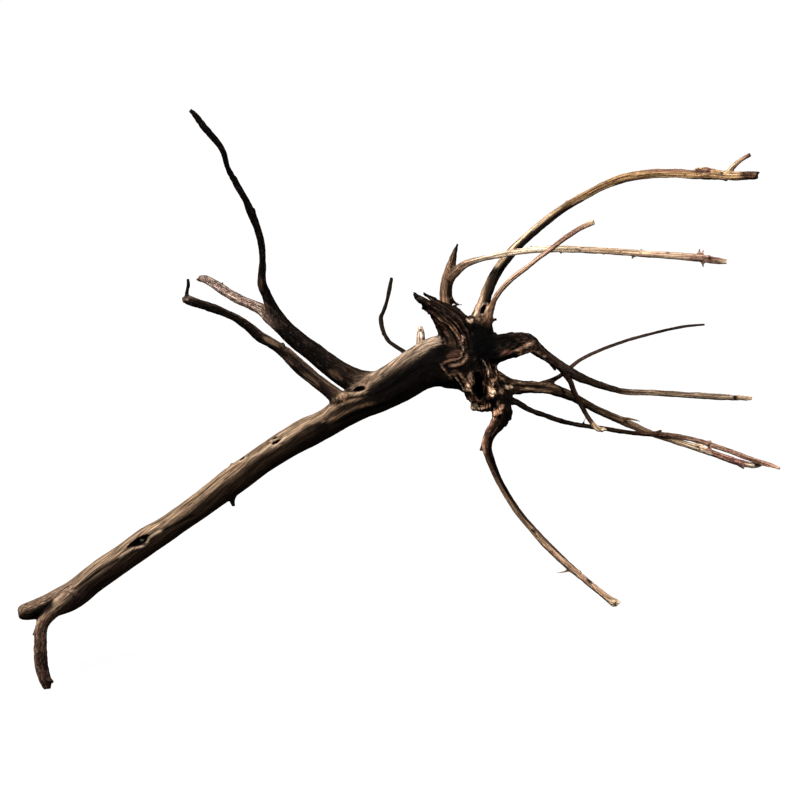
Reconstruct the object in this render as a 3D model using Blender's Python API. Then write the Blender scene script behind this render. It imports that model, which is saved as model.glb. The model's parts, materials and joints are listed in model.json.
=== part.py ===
"""A branching piece of driftwood: a trunk, its crown and the roots that spread from it.

It stands on three low points: the foot under the trunk's blunt end, the long lower root,
and the tips of the two roots that run away behind. The limbs are drawn as they are seen
from a little above, and each station is then slid along its own line of sight, so the
outline stays as drawn while the limbs spread out in depth.
"""

import math

import bmesh
import bpy
from mathutils import Matrix, Vector, noise

# Driving dimensions

MM = 0.001
EYE_ELEVATION = math.radians(30.0)
EYE_DISTANCE = 2400.0
EYE_LEVEL = 232.0
FOOTPRINT_MIDDLE = Vector((15.5, 173.5, 0.0))
RING_SPACING = 14.0

# Stations of the limbs, in millimetres: across, up, toward the eye, radius

TRUNK = [
    (-305.4, 60.7, 6, 3.0), (-304, 61.2, 6, 4.8), (-301, 62.2, 6, 6.2), (-296, 63.2, 5, 7.3),
    (-288, 65.2, 4, 8.5), (-278, 68.2, 2, 10.0), (-262, 76.2, 0, 10.9), (-244, 89.7, -2, 10.6),
    (-220, 106.4, -4, 10.7), (-200, 120.6, -5, 10.6), (-180, 133.4, -6, 9.9),
    (-160, 147.2, -6, 10.2), (-145, 158.3, -5, 10.6), (-130, 169.4, -4, 11.2),
    (-115, 180.5, -3, 11.0), (-98, 192, -1, 11.4), (-80, 202.8, 0, 11.6),
    (-60, 212.8, 1, 11.2), (-45, 222.2, 2, 12.0), (-30, 231.2, 3, 13.4),
    (-15, 239.2, 4, 15.6), (0, 247.6, 5, 17.0), (15, 257, 5, 17.8), (30, 262.8, 5, 20.4),
    (46, 263, 5, 21.2), (60, 264, 5, 15.0),
]

CROWN = [
    (68, 225, 4, 6.5), (67, 232, 4, 11.0), (65, 241, 4, 14.2), (61.5, 252, 4, 15.4),
    (60, 263, 3, 16.2), (62, 275, 2, 15.5), (64, 285, 1, 11.4), (66, 293, 1, 7.0),
]

FOOT = [
    (-268, 74, 2, 8.0), (-276, 67, 3, 6.8), (-283, 58.2, 5, 5.7), (-287, 49, 6, 4.9),
    (-287.4, 40, 4, 4.5), (-287.7, 30, 1, 4.9), (-287, 20, -2, 5.0), (-284.5, 10, -2, 4.5),
    (-282.8, 4, -1, 3.6), (-282.3, 1, 0, 2.6),
]

LEFT_BRANCH = [
    (-20, 243, -5, 10.0), (-37, 248, -5, 9.6), (-50, 255.2, -6, 8.8), (-60, 262.6, -7, 8.3),
    (-70, 270.6, -9, 7.9), (-80, 278, -10, 7.6), (-90, 286.8, -10, 7.0), (-97, 296.6, -8, 5.8),
    (-102, 305.6, -5, 4.6), (-107.6, 317.6, -1, 3.8), (-110.8, 328.6, 3, 3.3),
    (-109.7, 342.6, 8, 2.6), (-110.7, 356.6, 13, 2.8), (-114.2, 369.6, 18, 2.8),
    (-118.8, 381.6, 23, 3.1), (-125.2, 395.6, 30, 2.6), (-131.8, 406.6, 35, 2.7),
    (-138, 417.6, 41, 2.0), (-141.2, 429.6, 46, 2.2), (-147.8, 439.6, 51, 2.6),
    (-156.3, 449.6, 57, 2.7), (-163.3, 459.2, 62, 2.2), (-168, 463.8, 64, 1.4),
]

THIRD_BRANCH = [
    (-96, 291, -9, 5.0), (-104, 298.5, -10, 5.4), (-111, 304.5, -12, 4.4),
    (-118, 308, -15, 3.9), (-127, 311.5, -21, 3.9), (-136, 316.5, -28, 3.8),
    (-145, 322.5, -36, 3.6), (-154, 328, -44, 3.2), (-160, 329.3, -48, 2.2),
]

SECOND_BRANCH = [
    (-38, 227, 0, 8.0), (-48, 232.2, 4, 7.0), (-57, 239.9, 8, 5.7), (-70, 250.3, 13, 5.5),
    (-80, 258.6, 17, 5.5), (-89, 267.2, 20, 5.4), (-96, 273, 23, 4.3), (-104, 278, 27, 4.1),
    (-112, 282.8, 31, 4.2), (-120, 289.3, 35, 3.7), (-130, 296.6, 41, 3.3),
    (-140, 301.8, 47, 3.0), (-150, 305.6, 53, 3.6), (-160, 308.8, 59, 3.2),
    (-169, 311.8, 65, 3.5), (-173.6, 312.4, 68, 2.0),
]

BRANCH_TWIG = [
    (-168, 311, 64, 2.2), (-170.6, 316, 66, 1.5), (-170.3, 320, 68, 1.1),
    (-169.4, 324, 70, 1.3), (-169.8, 328.5, 72, 0.8),
]

WHIP = [
    (10, 262, -4, 2.6), (5, 268.4, -10, 2.2), (1.6, 271.6, -14, 1.7), (-3.2, 274.7, -17, 1.5),
    (-8.2, 278.2, -21, 1.4), (-11.5, 283.2, -25, 1.4), (-14, 289.2, -30, 1.5),
    (-15.2, 297.4, -35, 1.6), (-13.2, 303, -38, 1.3), (-10.7, 310.5, -42, 1.2),
    (-8.6, 319.5, -47, 1.5), (-6.8, 329.6, -52, 1.0),
]

BACK_STUB = [
    (16, 266, -8, 4.5), (16.5, 278, -14, 3.4), (16.5, 284, -18, 3.0), (16.6, 290, -22, 1.8),
]

BURL_STRANDS = [
    [
        (18.4, 317.2, 12, 0.6), (22, 315, 12, 1.1), (27, 312, 12, 2.2), (33, 307.5, 12, 3.5),
        (40, 303, 11, 4.6), (47, 297, 10, 5.6), (55, 288, 8, 6.5),
    ],
    [
        (12, 315, 19, 1.9), (16, 312.6, 19, 2.8), (21, 309.5, 19, 3.3), (27, 305.5, 18, 4.2),
        (34, 300, 17, 5.2), (41, 292, 15, 6.2), (49, 282, 12, 7.5), (56, 270, 10, 9.0),
    ],
    [
        (17.5, 306.5, 14, 2.0), (21.5, 305.6, 14, 2.5), (26, 302, 14, 3.2), (30.5, 296.5, 13, 4.6),
        (35.5, 290, 12, 6.2), (41, 282.5, 11, 8.0), (47, 274, 10, 9.0),
    ],
    [
        (42, 307, 4, 1.6), (46, 303.5, 4, 2.6), (49.5, 298.5, 4, 3.6), (54, 292, 4, 5.0),
        (59, 285, 4, 6.0),
    ],
]

BURL_SLIVER = [
    (40, 305.5, 4, 1.3), (44, 307.8, 3, 0.8), (50, 308.3, 2, 0.6),
]

UPRIGHT_STUB = [
    (47, 276, -5, 7.5), (41, 290, -8, 6.4), (37.5, 301, -10, 5.4), (36.8, 311, -11, 4.9),
    (36.8, 319, -11, 4.8), (38, 327, -11, 4.8), (39.8, 335, -11, 4.3), (41.6, 342, -10, 3.2),
    (43.4, 348.5, -9, 2.1), (45, 353.5, -8, 1.2), (46, 357, -7, 0.5),
]

THORNY_ROOT = [
    (39.5, 329, -9, 3.6), (44.5, 334.3, -7, 3.6), (50, 339.2, -4, 3.1), (56, 342.2, -1, 2.5),
    (64, 344.6, 2, 2.2), (72, 346.5, 5, 2.1), (80, 348.1, 8, 2.2), (90, 350, 10, 2.2),
    (105, 351.9, 11, 2.3), (122, 352.8, 10, 2.6), (140, 352.4, 6, 2.5), (160, 351.5, 0, 2.4),
    (180, 350.2, -8, 2.5), (200, 348.6, -16, 2.5), (220, 347.3, -25, 2.7), (236, 345.9, -32, 3.0),
    (247, 344.4, -38, 2.7), (256, 343.2, -42, 2.4), (260.8, 343, -44, 2.0),
]

ARCH_ROOT = [
    (59, 283, 1, 8.0), (60.8, 292, 0, 6.8), (63.2, 300, -2, 5.8), (67.2, 309.8, -5, 4.8),
    (70.4, 319.7, -8, 4.5), (74.6, 329.6, -11, 4.2), (80.3, 339, -14, 4.0), (87.1, 347.6, -16, 3.8),
    (94.1, 355.1, -17, 3.6), (102, 362.6, -17, 3.4), (111, 370.4, -16, 3.4),
    (121, 378.4, -14, 3.3), (131, 385.4, -11, 3.2), (141, 391.5, -8, 3.0),
    (151, 397.3, -4, 2.9), (161, 402.4, 0, 2.9), (171, 406.6, 5, 3.2), (182, 410, 12, 3.5),
    (200, 412.8, 24, 3.5), (220, 413.3, 36, 3.4), (236, 412.5, 45, 3.5), (245.5, 413.1, 50, 4.5),
    (254.5, 412.1, 54, 3.7), (264.5, 411.3, 59, 3.3), (275.5, 411.5, 63, 3.3),
    (285.8, 411.7, 67, 2.6),
]

ARCH_TWIG = [
    (258, 411, 56, 2.6), (263.5, 415, 59, 2.2), (267.5, 419.4, 62, 1.8), (273, 424, 65, 1.6),
    (280, 428.2, 69, 1.4),
]

FRONT_ROOT = [
    (68, 290, 4, 5.2), (70.2, 297, 5, 4.0), (72, 303.4, 7, 3.1), (74.3, 309.2, 10, 2.4),
    (77, 314.6, 13, 2.0), (80.8, 319.9, 16, 1.9), (86.4, 325.9, 19, 1.9), (93.4, 332, 22, 1.9),
    (100.4, 337.3, 24, 1.8), (109.4, 344.3, 26, 1.7), (118.4, 351.1, 28, 1.8),
    (129.4, 359.6, 30, 1.8), (140.3, 366.9, 33, 1.8), (149.3, 371.9, 36, 1.9),
    (155.2, 374.4, 38, 1.8),
]

FRONT_STUB = [
    (67, 291, 4, 2.6), (72, 294.3, 6, 1.5), (77.3, 297, 8, 1.2),
]

THICK_ROOT = [
    (62, 272, 3, 14.0), (72, 273, 6, 12.0), (80, 273.4, 8, 11.2), (90, 275.8, 9, 9.8),
    (99, 277, 8, 8.7), (104.5, 276.2, 6, 7.1), (109, 273.2, 3, 5.2), (116, 267.8, -4, 4.1),
    (124, 262.4, -13, 3.7), (132, 257, -22, 3.7), (141, 251.6, -32, 3.7),
    (150, 247.6, -41, 3.1), (160, 244, -50, 2.7), (170, 241, -58, 2.4),
    (180, 238.8, -66, 2.1), (200, 237.9, -81, 2.2), (220, 236.7, -96, 2.2),
    (240, 235.4, -111, 2.3), (258, 234.2, -124, 2.3), (270, 233.7, -131, 1.9),
    (281, 233.4, -138, 1.5),
]

FORKED_ROOT = [
    (127, 260, -18, 2.6), (132, 253, -22, 2.5), (136.4, 246.5, -24, 2.2),
    (138.6, 240.5, -26, 2.0), (143, 231.5, -30, 1.9), (148, 222.3, -34, 1.8),
    (153, 214.6, -38, 1.8), (158.4, 208.9, -41, 1.9), (162.5, 207.6, -43, 1.2),
]

MIDDLE_ROOT = [
    (66, 247, 2, 10.0), (78, 245.5, 1, 8.6), (89, 243, -2, 6.4), (99, 242.5, -9, 5.0),
    (110, 242, -18, 4.5), (119, 241.4, -27, 4.6), (128, 238.6, -38, 4.3), (137, 235, -52, 3.6),
    (146.5, 230, -68, 3.1), (155.5, 225.3, -85, 3.0), (165.5, 220.5, -102, 3.0),
    (175.5, 216.2, -120, 3.0), (185.6, 211.7, -138, 2.9), (195.8, 207.3, -155, 2.4),
    (206, 203.4, -171, 2.1), (217, 200.1, -188, 2.2), (229, 196.3, -206, 2.4),
    (241, 192.4, -226, 2.5), (252, 188.7, -245, 2.4), (262, 185, -262, 2.6),
    (272, 181.8, -277, 2.5), (281, 179.9, -291, 2.2), (288, 179.8, -299, 1.6),
]

RISING_ROOT = [
    (113, 244, -24, 3.0), (119.4, 246.6, -29, 2.2), (125, 249.4, -34, 1.7),
    (130.6, 253.2, -39, 1.5), (136.8, 258.4, -45, 1.5), (142.8, 263.2, -50, 1.3),
    (151.8, 268.2, -57, 1.2), (161.8, 272.5, -65, 1.1), (171.8, 276.4, -73, 1.1),
    (181.8, 279.8, -80, 1.1), (193.8, 283.1, -88, 1.0), (206.8, 286.4, -96, 0.9),
    (221.8, 289.8, -104, 0.9), (232.8, 291.5, -109, 0.8), (243.4, 292.3, -114, 0.6),
]

CROSSING_ROOT = [
    (70, 239, 2, 8.0), (82, 234.5, -1, 5.4), (89, 231.6, -5, 3.4), (95.2, 229.2, -10, 2.5),
    (101.4, 225.4, -17, 2.3), (108.4, 222.2, -25, 2.0), (116.4, 219.5, -36, 1.9),
    (125.4, 216.2, -48, 1.9), (135.4, 213.5, -61, 1.7), (147.4, 211.4, -77, 1.6),
    (160.4, 209.6, -94, 1.6), (172.6, 207.6, -111, 1.7), (184.7, 205.8, -129, 1.6),
    (196.8, 204.8, -148, 1.6), (208.8, 204.3, -168.5, 2.0), (220, 203, -188, 2.0),
    (232, 200.9, -208, 1.9), (243, 197.9, -227, 2.0), (254, 194.4, -246, 1.9),
    (265, 190.7, -265, 1.9), (276, 186.5, -281, 1.9), (286, 183, -292, 1.9),
    (293, 180.8, -298, 1.8), (298.3, 179.2, -301, 1.5), (303.6, 176.7, -304, 0.7),
]

LOWER_ROOT = [
    (76, 238, 4, 9.0), (80, 228, 3, 8.0), (81, 220.5, 2, 7.2), (78.5, 214, 0, 6.0),
    (75, 208.6, -2, 4.8), (71.6, 203.5, -4, 4.3), (69.7, 198.5, -6, 4.1), (69.5, 193.8, -8, 3.9),
    (70.8, 188.5, -11, 3.4), (73.8, 180, -16, 3.1), (78, 170, -22, 2.7), (83.3, 160, -29, 2.6),
    (89.3, 150, -37, 2.6), (96.4, 140, -46, 2.7), (104.8, 130, -55, 2.7),
    (113.6, 120, -64, 2.9), (123.6, 110, -73, 3.0), (134, 100, -81, 2.9),
    (140, 94.8, -86, 2.6), (148, 88.2, -91, 2.4), (156.5, 81.2, -96, 2.4),
    (164, 75.2, -100, 2.5), (170, 71, -104, 2.9), (173.6, 68.8, -106, 2.5),
]

# Small growths, each from a buried root to its tip

SPURS = [
    [(-134, 158, -4, 2.4), (-133.8, 151, -4, 1.7), (-133.2, 147, -4, 1.2)],
    [(-132, 176, -3, 1.6), (-135, 180.8, -3, 0.8)],
    [(-288, 48, 6, 2.4), (-292.6, 45.5, 7, 1.0), (-293.2, 43.8, 7, 0.5)],
    [(-283, 9, 0, 2.4), (-279, 7, 1, 1.6), (-277.2, 6, 1, 0.7)],
    [(82, 224, 3, 4.2), (87, 219, 3, 2.4), (88.4, 216, 3, 0.9)],
    [(80, 218, 2, 3.6), (84, 213.5, 2, 2.2), (84.4, 210.6, 2, 0.8)],
    [(77, 213, 0, 3.0), (79.6, 210, 0, 1.9), (80.4, 207.8, 0, 0.7)],
    [(84, 227, 3, 4.0), (88, 223.5, 3, 2.2), (89.2, 221, 3, 0.9)],
    [(68.5, 196, -7, 2.2), (65.4, 193, -7, 1.3), (64.2, 191.4, -7, 0.6)],
    [(70, 258, 4, 3.4), (75.4, 257.4, 6, 1.6), (77.4, 256.6, 7, 0.6)],
    [(70, 254, 4, 3.4), (75.6, 255, 7, 1.6), (77.6, 254.6, 8, 0.6)],
    [(57, 290, 2, 3.8), (56, 296, 4, 2.4), (56.4, 299.6, 5, 1.1)],
    [(121, 262, -14, 2.4), (123.6, 257, -14, 1.0), (123.8, 255.6, -14, 0.4)],
]

# Knobs: across, up, toward the eye, radius

KNOBS = [
    (74.4, 245.5, 15.5, 2.9), (71.4, 242, 15.5, 2.4), (75, 239, 16, 3.0),
    (73, 234.4, 14.5, 2.6), (78.6, 229, 10, 3.0), (80.6, 225.4, 8.5, 2.6),
    (76.6, 222, 8, 2.8), (60.4, 227, 5, 4.2), (65.4, 226, 6, 4.1), (70.4, 226, 7, 3.9),
    (87.3, 242.6, 4, 2.8), (245, 416, 51, 2.4), (-27.5, 243, 13.5, 2.2),
    (-45, 233, 10, 5.0),
]

# Hollows: middle across, up, toward the eye, half length, half width, depth, turn in degrees

HOLLOWS = [
    (-209.5, 118.6, 7.0, 10.5, 3.4, 6.0, 30.0),
    (-99, 198.4, 9.4, 4.4, 1.7, 3.6, 22.0),
    (-126, 185.2, 6.8, 3.4, 1.1, 3.0, 40.0),
    (-33, 240.6, 16.4, 5.6, 2.6, 8.5, 8.0),
    (62.6, 242.5, 18.8, 12.5, 4.3, 12.0, 94.0),
    (67.2, 305.2, 3.4, 4.3, 2.1, 4.2, 66.0),
]

THORN_SPAN = (100.0, 250.0)
THORN_COUNT = 22
THORN_LENGTH = 4.2
THORN_TURN = math.radians(137.5)

# Placing: a station slides along its line of sight


def shrink_at(toward):
    """How much smaller a thing drawn at full size is when it stands nearer the eye."""
    return (EYE_DISTANCE - toward) / EYE_DISTANCE


def placed(across, up, toward):
    """The point in metres that the line of sight through (across, up) reaches."""
    shrink = shrink_at(toward)
    lift = EYE_LEVEL + (up - EYE_LEVEL) * shrink
    sine = math.sin(EYE_ELEVATION)
    cosine = math.cos(EYE_ELEVATION)
    point = Vector((across * shrink, lift * sine - toward * cosine, lift * cosine + toward * sine))
    return (point - FOOTPRINT_MIDDLE) * MM


def spline_value(before, start, end, after, share):
    """A Catmull-Rom curve through four numbers, between the middle two."""
    slope_start = (end - before) / 2.0
    slope_end = (after - start) / 2.0
    square = share * share
    cube = square * share
    return (
        (2.0 * cube - 3.0 * square + 1.0) * start
        + (cube - 2.0 * square + share) * slope_start
        + (3.0 * square - 2.0 * cube) * end
        + (cube - square) * slope_end
    )


def filled_in(stations, spacing):
    """The stations, with more on a smooth curve where they stand further apart than spacing."""
    ends = [stations[0]] + list(stations) + [stations[-1]]
    filled = [stations[0]]
    for index in range(len(stations) - 1):
        before, start, end, after = ends[index : index + 4]
        gap = math.dist(start[:3], end[:3])
        steps = max(1, math.ceil(gap / spacing))
        for step in range(1, steps + 1):
            share = step / steps
            values = zip(before, start, end, after)
            filled.append(tuple(spline_value(*four, share) for four in values))
    return filled


# Solids


def link_to(collection, obj):
    collection.objects.link(obj)
    return obj


def welded(mesh):
    """Join a tube's loose caps to its wall."""
    shape = bmesh.new()
    shape.from_mesh(mesh)
    bmesh.ops.remove_doubles(shape, verts=shape.verts, dist=0.00002)
    bmesh.ops.recalc_face_normals(shape, faces=shape.faces)
    shape.to_mesh(mesh)
    shape.free()


def gnarled(mesh, amount, grain):
    """Uneven growth: each vertex moves along its normal by smooth noise."""
    normals = [vertex.normal.copy() for vertex in mesh.vertices]
    for vertex, normal in zip(mesh.vertices, normals):
        vertex.co += normal * amount * noise.noise(vertex.co / grain)


def limb(name, stations, collection, spacing=RING_SPACING, resolution=2, roughness=0.10):
    """A tapering closed tube along the stations, as a mesh object."""
    points = filled_in(stations, spacing)
    sides = 2 * (resolution + 2)
    fullness = 2.0 / (1.0 + math.cos(math.pi / sides))
    data = bpy.data.curves.new(name, "CURVE")
    data.dimensions = "3D"
    data.bevel_depth = MM
    data.bevel_resolution = resolution
    data.use_fill_caps = True
    spline = data.splines.new("POLY")
    spline.points.add(len(points) - 1)
    for point, (across, up, toward, radius) in zip(spline.points, points):
        point.co = (*placed(across, up, toward), 1.0)
        point.radius = radius * shrink_at(toward) * fullness
    curve = link_to(collection, bpy.data.objects.new(name + "_curve", data))
    bpy.context.view_layer.update()
    graph = bpy.context.evaluated_depsgraph_get()
    mesh = bpy.data.meshes.new_from_object(curve.evaluated_get(graph))
    bpy.data.objects.remove(curve)
    welded(mesh)
    mean_radius = sum(station[3] for station in stations) / len(stations)
    gnarled(mesh, mean_radius * roughness * MM, 4.0 * mean_radius * MM)
    return link_to(collection, bpy.data.objects.new(name, mesh))


def ellipsoid(name, middle, half_sizes, turn, collection, divisions=2):
    """A ball stretched to three half sizes, its first axis turned in the drawing plane."""
    shape = bmesh.new()
    bmesh.ops.create_icosphere(shape, subdivisions=divisions, radius=1.0)
    stretch = Matrix.Diagonal((*[half * MM for half in half_sizes], 1.0))
    lean = Matrix.Rotation(math.radians(90.0) - EYE_ELEVATION, 4, "X")
    bmesh.ops.transform(
        shape,
        matrix=Matrix.Translation(middle) @ lean @ Matrix.Rotation(turn, 4, "Z") @ stretch,
        verts=shape.verts,
    )
    mesh = bpy.data.meshes.new(name)
    shape.to_mesh(mesh)
    shape.free()
    return link_to(collection, bpy.data.objects.new(name, mesh))


def knob(index, spot, collection):
    across, up, toward, radius = spot
    size = radius * shrink_at(toward)
    divisions = 2 if radius > 2.5 else 1
    return ellipsoid(
        f"knob_{index}", placed(across, up, toward), (size, size, size), 0.0, collection, divisions
    )


def hollow_cutter(index, hollow, collection):
    across, up, toward, half_length, half_width, depth, turn = hollow
    return ellipsoid(
        f"hollow_{index}",
        placed(across, up, toward),
        (half_length, half_width, depth),
        math.radians(turn),
        collection,
    )


def thorn(index, collection):
    """A short spine on the thorny root, turned a golden angle further than the last."""
    start, end = THORN_SPAN
    across = start + (end - start) * (index + 0.5) / THORN_COUNT
    route = filled_in(THORNY_ROOT, 4.0)
    nearest = min(route, key=lambda station: abs(station[0] - across))
    angle = index * THORN_TURN
    reach = THORN_LENGTH + 0.7 * math.sin(index * 2.1)
    lean = 0.5 * math.sin(index * 1.3)
    tip = (
        nearest[0] + lean,
        nearest[1] + reach * math.cos(angle),
        nearest[2] + reach * math.sin(angle),
        0.4,
    )
    stations = [(*nearest[:3], 1.3), tip]
    return limb(f"thorn_{index}", stations, collection, 20.0, 0, 0.0)


def seat_cutter(collection):
    """A block whose top is the surface that the wood stands on."""
    bpy.ops.mesh.primitive_cube_add(size=1.0, location=(0.0, 0.0, -0.05))
    block = bpy.context.object
    block.name = "seat_cutter"
    block.scale = (1.2, 1.2, 0.1)
    for owner in block.users_collection:
        owner.objects.unlink(block)
    return link_to(collection, block)


def applied(obj):
    """Replace the object's mesh with what its modifiers make of it."""
    bpy.context.view_layer.update()
    graph = bpy.context.evaluated_depsgraph_get()
    mesh = bpy.data.meshes.new_from_object(obj.evaluated_get(graph))
    obj.modifiers.clear()
    obj.data = mesh


def combine(obj, collection, operation):
    """One Boolean of the object with everything in a collection."""
    modifier = obj.modifiers.new(operation.title(), "BOOLEAN")
    modifier.operation = operation
    modifier.operand_type = "COLLECTION"
    modifier.collection = collection
    modifier.solver = "MANIFOLD"
    applied(obj)


def emptied(collection):
    for obj in list(collection.objects):
        bpy.data.objects.remove(obj)
    bpy.data.collections.remove(collection)


def new_collection(name):
    collection = bpy.data.collections.new(name)
    bpy.context.scene.collection.children.link(collection)
    return collection


# Material


def wood_material():
    material = bpy.data.materials.new("weathered_wood")
    material.use_nodes = True
    shader = material.node_tree.nodes["Principled BSDF"]
    shader.inputs["Base Color"].default_value = (0.19, 0.115, 0.070, 1.0)
    shader.inputs["Roughness"].default_value = 0.78
    shader.inputs["Metallic"].default_value = 0.0
    return material


# The piece


def grow_limbs(limbs):
    """Every limb but the trunk, in the collection that the trunk is then joined with."""
    limb("crown", CROWN, limbs, 12.0, 4)
    limb("foot", FOOT, limbs, 14.0, 2)
    limb("left_branch", LEFT_BRANCH, limbs, 16.0, 2)
    limb("third_branch", THIRD_BRANCH, limbs)
    limb("second_branch", SECOND_BRANCH, limbs, 16.0, 2)
    limb("branch_twig", BRANCH_TWIG, limbs, 9.0, 1)
    limb("whip", WHIP, limbs, 9.0, 1)
    limb("back_stub", BACK_STUB, limbs)
    for index, strand in enumerate(BURL_STRANDS):
        limb(f"burl_strand_{index}", strand, limbs)
    limb("burl_sliver", BURL_SLIVER, limbs, 9.0, 1)
    limb("upright_stub", UPRIGHT_STUB, limbs)
    limb("thorny_root", THORNY_ROOT, limbs, 22.0)
    limb("arch_root", ARCH_ROOT, limbs, 22.0)
    limb("arch_twig", ARCH_TWIG, limbs, 9.0, 1)
    limb("front_root", FRONT_ROOT, limbs)
    limb("front_stub", FRONT_STUB, limbs, 9.0, 1)
    limb("thick_root", THICK_ROOT, limbs, 16.0, 3)
    limb("forked_root", FORKED_ROOT, limbs)
    limb("middle_root", MIDDLE_ROOT, limbs, 24.0)
    limb("rising_root", RISING_ROOT, limbs, 24.0, 1)
    limb("crossing_root", CROSSING_ROOT, limbs, 28.0, 1)
    limb("lower_root", LOWER_ROOT, limbs)
    for index, spur in enumerate(SPURS):
        limb(f"spur_{index}", spur, limbs, 9.0, 1)
    for index, spot in enumerate(KNOBS):
        knob(index, spot, limbs)
    for index in range(THORN_COUNT):
        thorn(index, limbs)


def build():
    driftwood = new_collection("piece_of_driftwood")
    limbs = new_collection("limbs")
    cutters = new_collection("cutters")
    trunk = limb("driftwood", TRUNK, driftwood, 12.0, 5)
    grow_limbs(limbs)
    combine(trunk, limbs, "UNION")
    for index, hollow in enumerate(HOLLOWS):
        hollow_cutter(index, hollow, cutters)
    seat_cutter(cutters)
    combine(trunk, cutters, "DIFFERENCE")
    emptied(limbs)
    emptied(cutters)
    trunk.data.name = "driftwood"
    trunk.data.materials.clear()
    trunk.data.materials.append(wood_material())
    trunk.data.shade_smooth()
    trunk.data.set_sharp_from_angle(angle=math.radians(50.0))


for leftover in list(bpy.data.objects):
    bpy.data.objects.remove(leftover)
build()
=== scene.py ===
"""The looks of a branching piece of driftwood: one fine mesh, its wood and a plain studio.

The limbs are drawn as in the part's source and grown into one closed mesh. Their joints are
then rounded, the grain and the growths are raised from the surface, and each vertex gets the
wood's colours with painted light and shade: a lit and a shaded side, painted shade in cavities,
furrows and hollows, and painted highlights on ridges and edges. The material breaks them up into
grain, specks and bark.
"""

import json
import math
from collections import namedtuple

import bmesh
import bpy
import numpy as np
from mathutils import Matrix, Vector, noise

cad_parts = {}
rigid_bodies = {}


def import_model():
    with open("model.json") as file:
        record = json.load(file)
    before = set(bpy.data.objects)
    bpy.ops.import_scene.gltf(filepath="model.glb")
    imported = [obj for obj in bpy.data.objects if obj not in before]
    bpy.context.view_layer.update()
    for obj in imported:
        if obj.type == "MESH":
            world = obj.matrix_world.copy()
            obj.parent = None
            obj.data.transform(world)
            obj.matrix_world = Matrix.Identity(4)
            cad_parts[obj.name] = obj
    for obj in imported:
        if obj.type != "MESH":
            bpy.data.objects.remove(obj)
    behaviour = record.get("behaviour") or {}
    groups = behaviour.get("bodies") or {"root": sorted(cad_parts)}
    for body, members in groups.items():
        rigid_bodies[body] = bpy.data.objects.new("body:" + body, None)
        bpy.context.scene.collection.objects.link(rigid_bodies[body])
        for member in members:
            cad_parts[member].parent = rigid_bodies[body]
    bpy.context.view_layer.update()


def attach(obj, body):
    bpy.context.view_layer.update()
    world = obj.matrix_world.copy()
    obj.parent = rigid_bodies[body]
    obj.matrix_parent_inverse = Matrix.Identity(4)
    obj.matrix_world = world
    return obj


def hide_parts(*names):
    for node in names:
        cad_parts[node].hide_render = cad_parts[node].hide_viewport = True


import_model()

# Driving dimensions, the same as the part's

MM = 0.001
EYE_ELEVATION = math.radians(30.0)
EYE_DISTANCE = 2400.0
EYE_LEVEL = 232.0
FOOTPRINT_MIDDLE = np.array((15.5, 173.5, 0.0))
SINE = math.sin(EYE_ELEVATION)
COSINE = math.cos(EYE_ELEVATION)

# Stand-ins for nothing, so that no length or sum divides by zero

TINY = 1e-6
NO_CLAIM = 1e-9

# Stations of the limbs, in millimetres: across, up, toward the eye, radius

TRUNK = [
    (-305.4, 60.7, 6, 3.0), (-304, 61.2, 6, 4.8), (-301, 62.2, 6, 6.2), (-296, 63.2, 5, 7.3),
    (-288, 65.2, 4, 8.5), (-278, 68.2, 2, 10.0), (-262, 76.2, 0, 10.9), (-244, 89.7, -2, 10.6),
    (-220, 106.4, -4, 10.7), (-200, 120.6, -5, 10.6), (-180, 133.4, -6, 9.9),
    (-160, 147.2, -6, 10.2), (-145, 158.3, -5, 10.6), (-130, 169.4, -4, 11.2),
    (-115, 180.5, -3, 11.0), (-98, 192, -1, 11.4), (-80, 202.8, 0, 11.6),
    (-60, 212.8, 1, 11.2), (-45, 222.2, 2, 12.0), (-30, 231.2, 3, 13.4),
    (-15, 239.2, 4, 15.6), (0, 247.6, 5, 17.0), (15, 257, 5, 17.8), (30, 262.8, 5, 20.4),
    (46, 263, 5, 21.2), (60, 264, 5, 15.0),
]

CROWN = [
    (68, 225, 4, 6.5), (67, 232, 4, 11.0), (65, 241, 4, 14.2), (61.5, 252, 4, 15.4),
    (60, 263, 3, 16.2), (62, 275, 2, 15.5), (64, 285, 1, 11.4), (66, 293, 1, 7.0),
]

# The foot starts in front of the trunk, which leaves a dark crease beside the blunt end

FOOT = [
    (-262, 77, 4, 7.0), (-270, 70.5, 8.5, 7.0), (-277.6, 64.4, 10.4, 6.5), (-283.6, 57.4, 10, 5.8),
    (-287, 49, 8, 5.1), (-287.6, 40, 5, 4.8), (-287.7, 30, 1, 5.2), (-287, 20, -2, 5.2),
    (-284.5, 10, -2, 4.7), (-282.8, 4, -1, 3.6), (-282.3, 1, 0, 2.6),
]

LEFT_BRANCH = [
    (-20, 243, -5, 10.0), (-37, 248, -5, 9.6), (-50, 255.2, -6, 8.8), (-60, 262.6, -7, 8.3),
    (-70, 270.6, -9, 7.9), (-80, 278, -10, 7.6), (-90, 286.8, -10, 7.0), (-97, 296.6, -8, 5.8),
    (-102, 305.6, -5, 4.6), (-107.6, 317.6, -1, 3.8), (-110.8, 328.6, 3, 3.3),
    (-109.7, 342.6, 8, 2.6), (-110.7, 356.6, 13, 2.8), (-114.2, 369.6, 18, 2.8),
    (-118.8, 381.6, 23, 3.1), (-125.2, 395.6, 30, 2.6), (-131.8, 406.6, 35, 2.7),
    (-138, 417.6, 41, 2.0), (-141.2, 429.6, 46, 2.2), (-147.8, 439.6, 51, 2.6),
    (-156.3, 449.6, 57, 2.7), (-163.3, 459.2, 62, 2.2), (-168, 463.8, 64, 1.4),
]

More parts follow.
